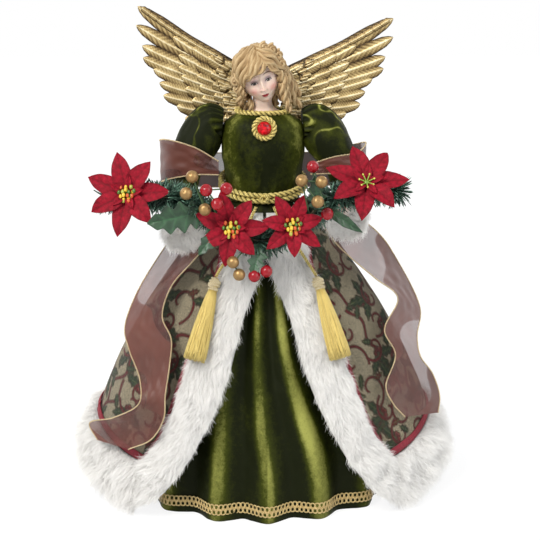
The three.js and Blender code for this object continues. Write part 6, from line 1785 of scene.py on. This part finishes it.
def paint_face(x, z, front, tone):
    """Painted bisque: blush, brows, dark eyes and a small red mouth."""
    def lay(mask, color, strength=1.0):
        w = (np.clip(mask, 0, 1) * strength * front)[..., None]
        tone[:] = tone * (1 - w) + color * w
    s = np.abs(x)
    edge = lambda d, soft=0.22: np.clip(d / soft + 0.5, 0, 1)
    lay(bell(s, z, 8.4, -6.2, 3.6, 3.3), lin(226, 140, 130), 0.62)
    lay(bell(x, z, 0, -4.9, 1.5, 1.2), lin(226, 158, 146), 0.35)
    lay(bell(x, z, 0, -16.8, 2.6, 1.8), lin(226, 158, 146), 0.30)
    # Painted shade in the hollow under the lower lip and in the inner eye sockets.
    lay(bell(x, z, 0, -13.6, 2.0, 0.6), lin(176, 136, 130), 0.5)
    lay(bell(s, z, 3.1, 0.6, 1.2, 2.6), lin(160, 132, 136), 0.5)
    lay(bell(s, z, 6.0, 2.5, 3.3, 1.6), lin(146, 128, 140), 0.70)
    # Brows
    bx = (s - 6.7) / 3.9
    by = 5.9 + 1.15 * (1 - bx ** 2) - 0.35 * bx
    lay(edge(0.42 * (1 - 0.75 * np.clip(bx, -1, 1) ** 2) - np.abs(z - by), 0.35) * (np.abs(bx) < 1),
        lin(104, 72, 48), 0.9)
    # Eyes
    ex = (s - 6.0) / 2.7
    upper = 0.75 + 0.95 * np.clip(1 - ex ** 2, 0, 1) ** 0.75 - 0.12 * ex
    lower = 0.75 - 0.85 * np.clip(1 - ex ** 2, 0, 1) ** 0.9 - 0.12 * ex
    inside = edge(np.minimum(upper - z, z - lower)) * (np.abs(ex) < 1)
    lay(inside, lin(214, 204, 200))
    iris = np.hypot(s - 5.9, (z - 0.75) * 0.96)
    lay(inside * edge(1.32 - iris), lin(34, 22, 18))
    lay(inside * edge(1.02 - iris) * (z < 0.5), lin(84, 56, 38), 0.6)
    lay(inside * edge(0.6 - iris), lin(8, 6, 6))
    # A painted highlight in each eye.
    lay(edge(0.2 - np.hypot(x - np.sign(x) * 5.9 + 0.45, z - 1.2)), lin(250, 250, 250))
    lash = edge(0.36 + 0.18 * np.clip(ex, 0, 1) - np.abs(z - upper - 0.05), 0.25) * (np.abs(ex) < 1.08)
    lay(lash, lin(38, 24, 20))
    lay(edge(0.13 - np.abs(z - lower), 0.25) * (np.abs(ex) < 0.95), lin(110, 78, 66), 0.75)
    lay(edge(0.2 - np.abs(z - upper - 1.15), 0.35) * (np.abs(ex) < 1.0), lin(124, 92, 84), 0.8)
    # Mouth
    m = np.clip(1 - (s / 3.1) ** 2, 0, 1)
    top = -10.8 + 1.4 * m ** 0.8 - 0.42 * np.exp(-(x / 0.55) ** 2) * (m > 0)
    low = -10.8 - 1.9 * m ** 0.9
    lips = edge(np.minimum(top - z, z - low), 0.3) * (s < 3.15)
    lay(lips, lin(150, 26, 36))
    lay(edge(0.16 - np.abs(z + 10.8 + 0.12 * np.cos(2.2 * x)), 0.3) * (s < 2.9), lin(92, 12, 22), 0.85)
    # A painted highlight on the lower lip.
    lay(bell(x, z, 0.3, -11.9, 0.9, 0.35), lin(232, 130, 130), 0.5)
    lay(bell(s, z, 1.15, -6.75, 0.42, 0.3), lin(160, 74, 66), 0.8)
    # Painted shade down the sides of the nose.
    lay(bell(s, z, 2.6, -4.2, 0.8, 3.4) * (z > -8) * (z < 2), lin(196, 156, 146), 0.45)


# The skull's half width, half depth and half height.
HEAD_HALF = np.array([16.5, 19.0, 22.0])
SKIN = lin(236, 208, 190)


def make_face(batch):
    cols, rows = 380, 250
    # Columns crowd at the face, where the paint is.
    u = np.linspace(-1, 1, cols, endpoint=False)
    T, F = np.meshgrid(math.pi * (0.45 * u + 0.55 * u ** 3), np.linspace(0.004, math.pi - 0.004, rows))
    up, ahead = np.cos(F), np.sin(F) * np.cos(T)
    front = step(ahead, -0.05, 0.30)
    x = HEAD_HALF[0] * np.sin(F) * np.sin(T) * (1 - 0.34 * step(-up, 0.1, 1))
    z = HEAD_HALF[2] * up
    y = -HEAD_HALF[1] * ahead * np.where(ahead > 0, 0.92, 1)
    y = y - face_relief(x, z) * front * step(ahead, 0.0, 0.25)
    pts = np.stack([x, y, z], -1)
    tone = SKIN * (0.985 + 0.015 * noise3(pts, 9.0, 2))[..., None]
    paint_face(x, z, front, tone)
    batch.add(on_head(pts), capped(rows, cols), tone)


def make_neck(batch):
    """The neck and the top of the chest, with two tendons and the hollow between them."""
    rows, cols = 50, 60
    chin = on_head([0, 0, -6.6])
    # Height, half width, half depth and the middle's place.
    keys = np.array([
        [323.4, 16.4, 12.4, 0, 0], [324.6, 14.6, 10.8, 0, 0], [326.0, 11.6, 9.2, -0.1, -0.4],
        [328.5, 9.0, 8.5, -0.3, -1.3], [332.0, 8.2, 8.2, -0.7, -2.8],
        [337.0, 8.1, 8.1, 0.45 * chin[0], 0.6 * chin[1]], [chin[2], 8.4, 8.4, chin[0], chin[1]]])
    height, width, depth, x, y = (column[:, None] for column in Curve(keys).many(np.linspace(0, 1, rows)).T)
    a = circle(cols)
    pull = crest_of(np.abs(wrapped(a)) - 0.55, 0.22) * crest_of(height - 328, 4)
    neck = np.stack([x + width * np.sin(a), y - depth * np.cos(a) - 0.5 * pull, height + 0 * a], -1)
    batch.add(neck, capped(rows, cols), SKIN * 0.97)


def make_head():
    b = Batch()
    make_face(b)
    make_neck(b)
    return b.build("head_bisque", mat_bisque, replaces=["head"], slot="bisque")


HAIR_LIGHT, HAIR_MID, HAIR_DARK = lin(203, 181, 140), lin(176, 146, 103), lin(106, 75, 42)


def hair_tone(grid, depth):
    """Painted highlights on the crests of the waves and painted shade in the grooves."""
    k = np.clip(0.52 + depth + 0.16 * noise3(grid, 4.5, 2), 0, 1)[..., None]
    return np.where(k < 0.5, lerp(HAIR_DARK, HAIR_MID, k * 2), lerp(HAIR_MID, HAIR_LIGHT, k * 2 - 1))


def grooved(batch, line, frame_of_line, radius, groove, depth, shine, flat=1.0):
    """A capped tube of hair, with grooves along it that also paint shade and highlight on it."""
    rows, sides = groove.shape
    grid = swept(line, *frame_of_line, circle(sides), radius[:, None] * (1 + depth * groove), flat)
    batch.add(on_head(grid), capped(rows, sides), hair_tone(grid, shine * groove))


def lock(batch, pts, r0, r1, wave, phase, steps, sides):
    """A moulded lock of hair: a tapered, grooved tube that waves."""
    s = np.linspace(0, 1, steps)
    line = Curve(pts).many(s)
    _, n, b = frames_along(line, up=FRONT)
    turn = TURN * 2.2 * s + phase
    on = wave * step(s, 0.05, 0.35)
    line = line + (np.sin(turn) * on)[:, None] * n + (0.5 * np.cos(turn) * on)[:, None] * b
    grow = np.sin(math.pi * np.clip(s * 0.88 + 0.10, 0, 1)) ** 0.55
    way = 3 * (circle(sides) + 0.8 * TURN * s[:, None])
    groove = 0.75 * np.cos(way + phase) + 0.25 * np.cos(3 * way + 2 * phase)
    grooved(batch, line, frames_along(line, up=FRONT)[1:], lerp(r0, r1, s) * grow, groove, 0.16, 0.30, 0.7)


def ringlet(batch, top, length, radius, pitch, phase, lean, curl_up):
    """A hanging curl: two strands wound round one another, ending in a hook."""
    strands_in, rows, sides = 2, 80, 20
    lean = unit(lean)
    s = np.linspace(0, 1, rows)
    n = unit(np.cross(lean, (0, 1, 0)))
    b = np.cross(lean, n)
    aside = 1.6 * np.sin(TURN * 0.9 * s + phase) * s + curl_up * s ** 3
    axis = np.asarray(top, float) + lean * (length * s)[:, None] + aside[:, None] * n
    size = radius * lerp(1.0, 0.6, s) * np.minimum(1, 0.5 + 2.4 * s)
    end = np.sqrt(np.clip(1 - ((s - 0.88) / 0.125).clip(0, 1) ** 2, 0.01, 1))
    a, down = circle(sides), s[:, None]
    for k in range(strands_in):
        ang = (phase + TURN * k / strands_in + TURN * length / pitch * s)[:, None]
        line = axis + 0.52 * size[:, None] * (np.cos(ang) * n + np.sin(ang) * b)
        groove = 0.7 * np.cos(3 * a + 4 * down + k) + 0.3 * np.cos(8 * a + 2 * down)
        grooved(batch, line, frames_along(line)[1:], 0.66 * size * end, groove, 0.12, 0.38)


def rolled_curl(batch, x, y, z, radius):
    """A small curl that is rolled up toward its middle."""
    s = np.linspace(0, 1, 40)
    ang, r = 1.0 + 1.3 * TURN * s, radius * (1.15 - 0.85 * s)
    line = np.stack([x + r * np.cos(ang), y - 1.2 * s, z + r * np.sin(ang)], -1)
    thick = lerp(2.3, 1.9, s) * np.minimum(1, 14 * (1.03 - s)) ** 0.5
    groove = np.cos(3 * circle(18) + 6 * s[:, None])
    grooved(batch, line, frames_along(line, up=FRONT)[1:], thick, groove, 0.12, 0.38)


def scalp(theta, phi, out=0.0):
    theta, phi = np.broadcast_arrays(np.asarray(theta, float), phi)
    w, d, h = HEAD_HALF
    return np.stack([(w + out) * np.sin(phi) * np.sin(theta), -(d + out) * np.sin(phi) * np.cos(theta),
                     (h + out) * np.cos(phi)], -1)


def make_cap(batch):
    """The hair's base, open at the face, with combed waves."""
    cols, rows = 300, 120
    th = circle(cols)
    low = np.interp(np.abs(wrapped(th)), [0, 0.5, 0.95, 1.3, 2.0, math.pi],
                    [0.72, 0.80, 1.22, 1.80, 2.12, 2.15])
    t = np.linspace(0, 1, rows)[:, None]
    PH = 0.03 + (low - 0.03) * t
    TH = np.repeat(th[None, :], rows, 0)
    sweep = 15 * TH + 3.2 * np.sin(3.2 * PH + 1.5 * TH) + 1.5 * noise3(scalp(TH, PH), 12.0, 2)
    wave = 0.7 * np.cos(sweep) + 0.3 * np.cos(3.1 * sweep + 1)
    grid = scalp(TH, PH, 3.2 + 0.75 * wave * step(PH, 0.05, 0.5) - 2.6 * step(t, 0.90, 1.0))
    faces = grid_faces(rows, cols, close_cols=True).tolist() + [list(range(cols))[::-1]]
    batch.add(on_head(grid), faces, hair_tone(grid, 0.36 * wave))


def make_hair():
    b = Batch()
    make_cap(b)
    # Swept fringe: full waves from the parting, low over the brow on the left
    fringe = [
        ([(3.5, -8, 24.6), (-1.5, -16.0, 21.0), (-7.5, -18.6, 15.4), (-13.0, -16.6, 9.6), (-17.2, -11.6, 3.6),
          (-18.8, -7.6, -3.5)], 3.4, 2.4, 0.9),
        ([(3.0, -5, 25.6), (-4, -13.4, 22.8), (-10.5, -15.4, 17.6), (-16.0, -11.8, 11.0), (-19.4, -6.4, 3.4),
          (-20.2, -3.0, -6.0)], 3.6, 2.6, 1.2),
        ([(2.0, -1, 26.4), (-6, -8.6, 24.4), (-13.2, -10.4, 19.2), (-18.2, -6.8, 11.6), (-20.6, -1.4, 3.0),
          (-20.6, 2.0, -7.0)], 3.6, 2.6, 1.2),
        ([(4.2, -10, 23.6), (1.0, -18.2, 19.6), (-4.8, -20.6, 15.0), (-10.2, -19.2, 10.6),
          (-14.8, -15.6, 6.4), (-17.4, -12.0, 1.0)], 2.6, 1.6, 0.8),
        ([(4.6, -10, 23.6), (7.4, -17.4, 19.2), (11.4, -17.8, 13.2), (14.8, -15.0, 7.0), (17.4, -10.8, 0.6),
          (18.6, -7.4, -7.0)], 2.9, 2.2, 1.3),
        ([(4.4, -6, 25.2), (9.4, -13.4, 21.4), (14.6, -13.6, 15.2), (18.4, -9.8, 8.0), (20.2, -4.8, 0.0),
          (20.6, -2.0, -8.0)], 3.3, 2.6, 1.4),
        ([(4.0, -2, 26.2), (10.6, -8.6, 23.0), (16.6, -8.6, 16.6), (20.0, -4.4, 8.6), (21.0, 0.4, -1.0),
          (20.8, 3.0, -10.0)], 3.5, 2.8, 1.4),
        ([(2.4, -10.6, 23.6), (-1.6, -19.4, 18.6), (-6.6, -20.2, 13.6), (-11.0, -18.4, 9.2)], 1.9, 1.0, 0.6),
        ([(7.0, -13.0, 21.6), (3.6, -19.8, 17.4), (-1.6, -21.6, 13.8), (-7.4, -20.8, 10.6),
          (-12.6, -17.8, 6.6), (-16.4, -13.4, 0.6)], 2.7, 1.9, 1.1),
        ([(9.4, -13.8, 19.6), (7.0, -19.6, 15.2), (2.6, -21.6, 12.2), (-2.8, -21.8, 10.2), (-7.8, -20.6, 8.4),
          (-12.4, -17.6, 5.0)], 2.2, 1.2, 0.9),
        ([(7.6, -13.4, 20.8), (9.4, -19.0, 15.4), (11.6, -18.8, 10.4), (14.2, -16.0, 5.6),
          (16.4, -12.6, 0.0)], 2.3, 1.6, 0.9),
        ([(5.0, -11.4, 22.6), (6.2, -18.8, 17.6), (9.4, -18.9, 12.6), (12.6, -17.0, 8.4)], 1.7, 0.9, 0.6),
    ]
    for k, (pts, r0, r1, wave) in enumerate(fringe):
        lock(b, pts, r0, r1, wave, 1.3 * k, 84, 28)
    # Waves down the back and the sides
    r = np.random.default_rng(11)
    for ring, (ph0, ph1, out, size,
               count) in enumerate(((0.25, 1.45, 3.6, 3.6, 20), (1.0, 2.05, 3.8, 3.7, 20))):
        for k in range(count):
            a = TURN * (k + 0.5 * ring) / count
            if abs(wrapped(a)) < (1.35 if ring else 1.0):
                continue
            s = np.linspace(0, 1, 7)
            theta = a + 0.14 * np.sin(5 * s + k) + 0.10 * r.normal() * s
            phi = lerp(ph0, ph1 + 0.12 * r.normal(), s)
            lock(b, scalp(theta, phi, out + 0.4 * r.random()), size * 0.9, size * 0.8, 1.0, k, 52, 20)
    # Curls: short and tight by the temples and crown, long down the right side
    curls = [
        ((16.6, -11.5, 3.4), 30, 4.4, 15, 0.0, 2), ((19.4, -2.0, 0.0), 37, 4.9, 17, 1.0, 3),
        ((15.6, 8.4, 2.4), 33, 4.6, 15, 2.0, 0),
        ((15.0, -14.0, -6.0), 26, 3.6, 14, 2.6, -2), ((21.0, 3.0, 4.0), 33, 4.6, 16, 4.2, 4),
        ((-18.5, -7.3, -1.0), 14, 3.8, 12, 0.5, -4), ((-18.6, 4.2, -2.6), 25, 4.3, 14, 1.5, -2),
        ((-17.0, -10.6, 3.0), 11, 3.0, 9, 2.5, -3),
        ((-14.4, -6.0, -13.0), 17, 2.9, 12, 0.7, 3),
        ((18.4, 4.4, 14.0), 19, 4.3, 13, 3.0, 3), ((16.6, -7.0, 19.0), 13, 3.8, 11, 4.0, 3),
        ((20.0, -4.4, 9.5), 17, 4.0, 12, 0.3, 3),
        ((11.8, -3.2, 24.5), 9, 3.7, 10, 2.2, 3), ((-17.6, -6.0, 10.5), 13, 3.4, 11, 3.3, -2),
        ((-19.4, 0.4, 9.0), 16, 3.6, 12, 1.3, -2),
        ((-13.4, 9.5, 2.0), 25, 4.2, 14, 0.8, 0), ((-5.8, 15.9, 1.0), 25, 4.3, 14, 2.4, 0),
        ((3.5, 16.9, 1.0), 26, 4.3, 15, 0.2, 0),
        ((11.0, 13.9, 1.5), 27, 4.3, 14, 1.9, 0),
        ((5.5, 5.0, -11.0), 20, 4.6, 15, 0.9, 0), ((2.5, 8.0, -11.0), 20, 4.4, 15, 2.4, 0),
        ((11.5, 0.5, -8.0), 21, 3.8, 14, 2.2, 2), ((-6.5, 6.0, -9.0), 22, 4.2, 14, 1.1, -2),
    ]
    for k, (top, length, radius, pitch, phase, up) in enumerate(curls):
        lean = (0.08 * math.sin(2.1 * k), 0.06 * math.cos(1.3 * k), -1.0)
        ringlet(b, top, length, radius, pitch, phase, lean, up)
    # Small rolled curls that stand out from the crown on the right
    for roll in ((11.0, -7.0, 25.4, 2.3), (16.6, -7.6, 21.8, 2.6), (20.2, -7.0, 15.4, 2.5),
                 (20.8, -7.6, 8.0, 2.3),
                 (-19.8, -7.6, 5.2, 2.0), (-20.2, -6.4, -2.4, 2.2)):
        rolled_curl(b, *roll)
    return b.build("hair_locks", mat_hair, replaces=["hair"], slot="blond")


HAND_SKIN = lin(238, 208, 192)
PALM_HALF, FINGER_LONG, FINGER_OVER = 5.5, 10.4, 4.56
ACROSS = np.array([1.0, 0, 0])


def finger_tube(batch, p0, p1, p2, r0, r1):
    t = np.linspace(0, 1, 22)
    rad = lerp(r0, r1, t) * (1 + 0.07 * crest_of(t - 0.5, 0.1))
    end = np.sqrt(np.clip(1 - ((t - 0.86) / 0.14).clip(0, 1) ** 2, 0, 1))
    batch.tube(bezier(p0, p1, p2, t), np.maximum(rad * end, 0.05), 14, HAND_SKIN)


def make_hand(name, side, grip_share):
    """A palm that reaches to the garland, four fingers over it and a thumb."""
    b = Batch()
    rows, cols = 30, 28
    grip = GARLAND.at(grip_share)
    start = lerp(ARMS[name].at(1.0), grip, 0.1)
    palm_end = lerp(start, grip, 0.72)
    reach = unit(grip - start)
    outward = unit(np.cross(reach, ACROSS))
    if outward[1] > 0:
        outward = -outward
    wide = unit(ACROSS - reach * (ACROSS @ reach))
    normals = [np.tile(v, (rows, 1)) for v in (wide, np.cross(wide, reach))]
    t = np.linspace(0, 1, rows)
    line = bezier(start, lerp(start, palm_end, 0.5), palm_end, t)
    size = PALM_HALF * lerp(0.62, 1, t) * np.sqrt(np.clip(1 - ((t - 0.8) / 0.22).clip(0, 1) ** 2, 0.05, 1))
    b.add(swept(line, *normals, circle(cols), size[:, None], 0.62), capped(rows, cols), HAND_SKIN)
    for place, share in ((-0.75, 0.8), (-0.25, 1.0), (0.25, 1.0), (0.75, 0.85)):
        knuckle = palm_end + ACROSS * place * PALM_HALF
        bend = knuckle + reach * share * FINGER_LONG + outward * 0.5 * FINGER_OVER
        end = bend + outward * 2 * FINGER_OVER - reach * 0.5 * share * FINGER_LONG
        finger_tube(b, knuckle - reach * 2.5, bend, end, 1.95, 1.45)
    root = lerp(start, palm_end, 0.45) + ACROSS * side * 3.2
    finger_tube(b, root, root + ACROSS * side * 3.6 + reach * 3 + outward * 1.5,
                palm_end + ACROSS * side * 4.2 + outward * 3.6 + reach * 0.5, 2.0, 1.4)
    return b.build(name + "_hand_bisque", mat_bisque, replaces=[name + "_hand"], slot="bisque")


make_head()
make_hair()
make_hand("left", 1, 0.28)
make_hand("right", -1, 0.78)
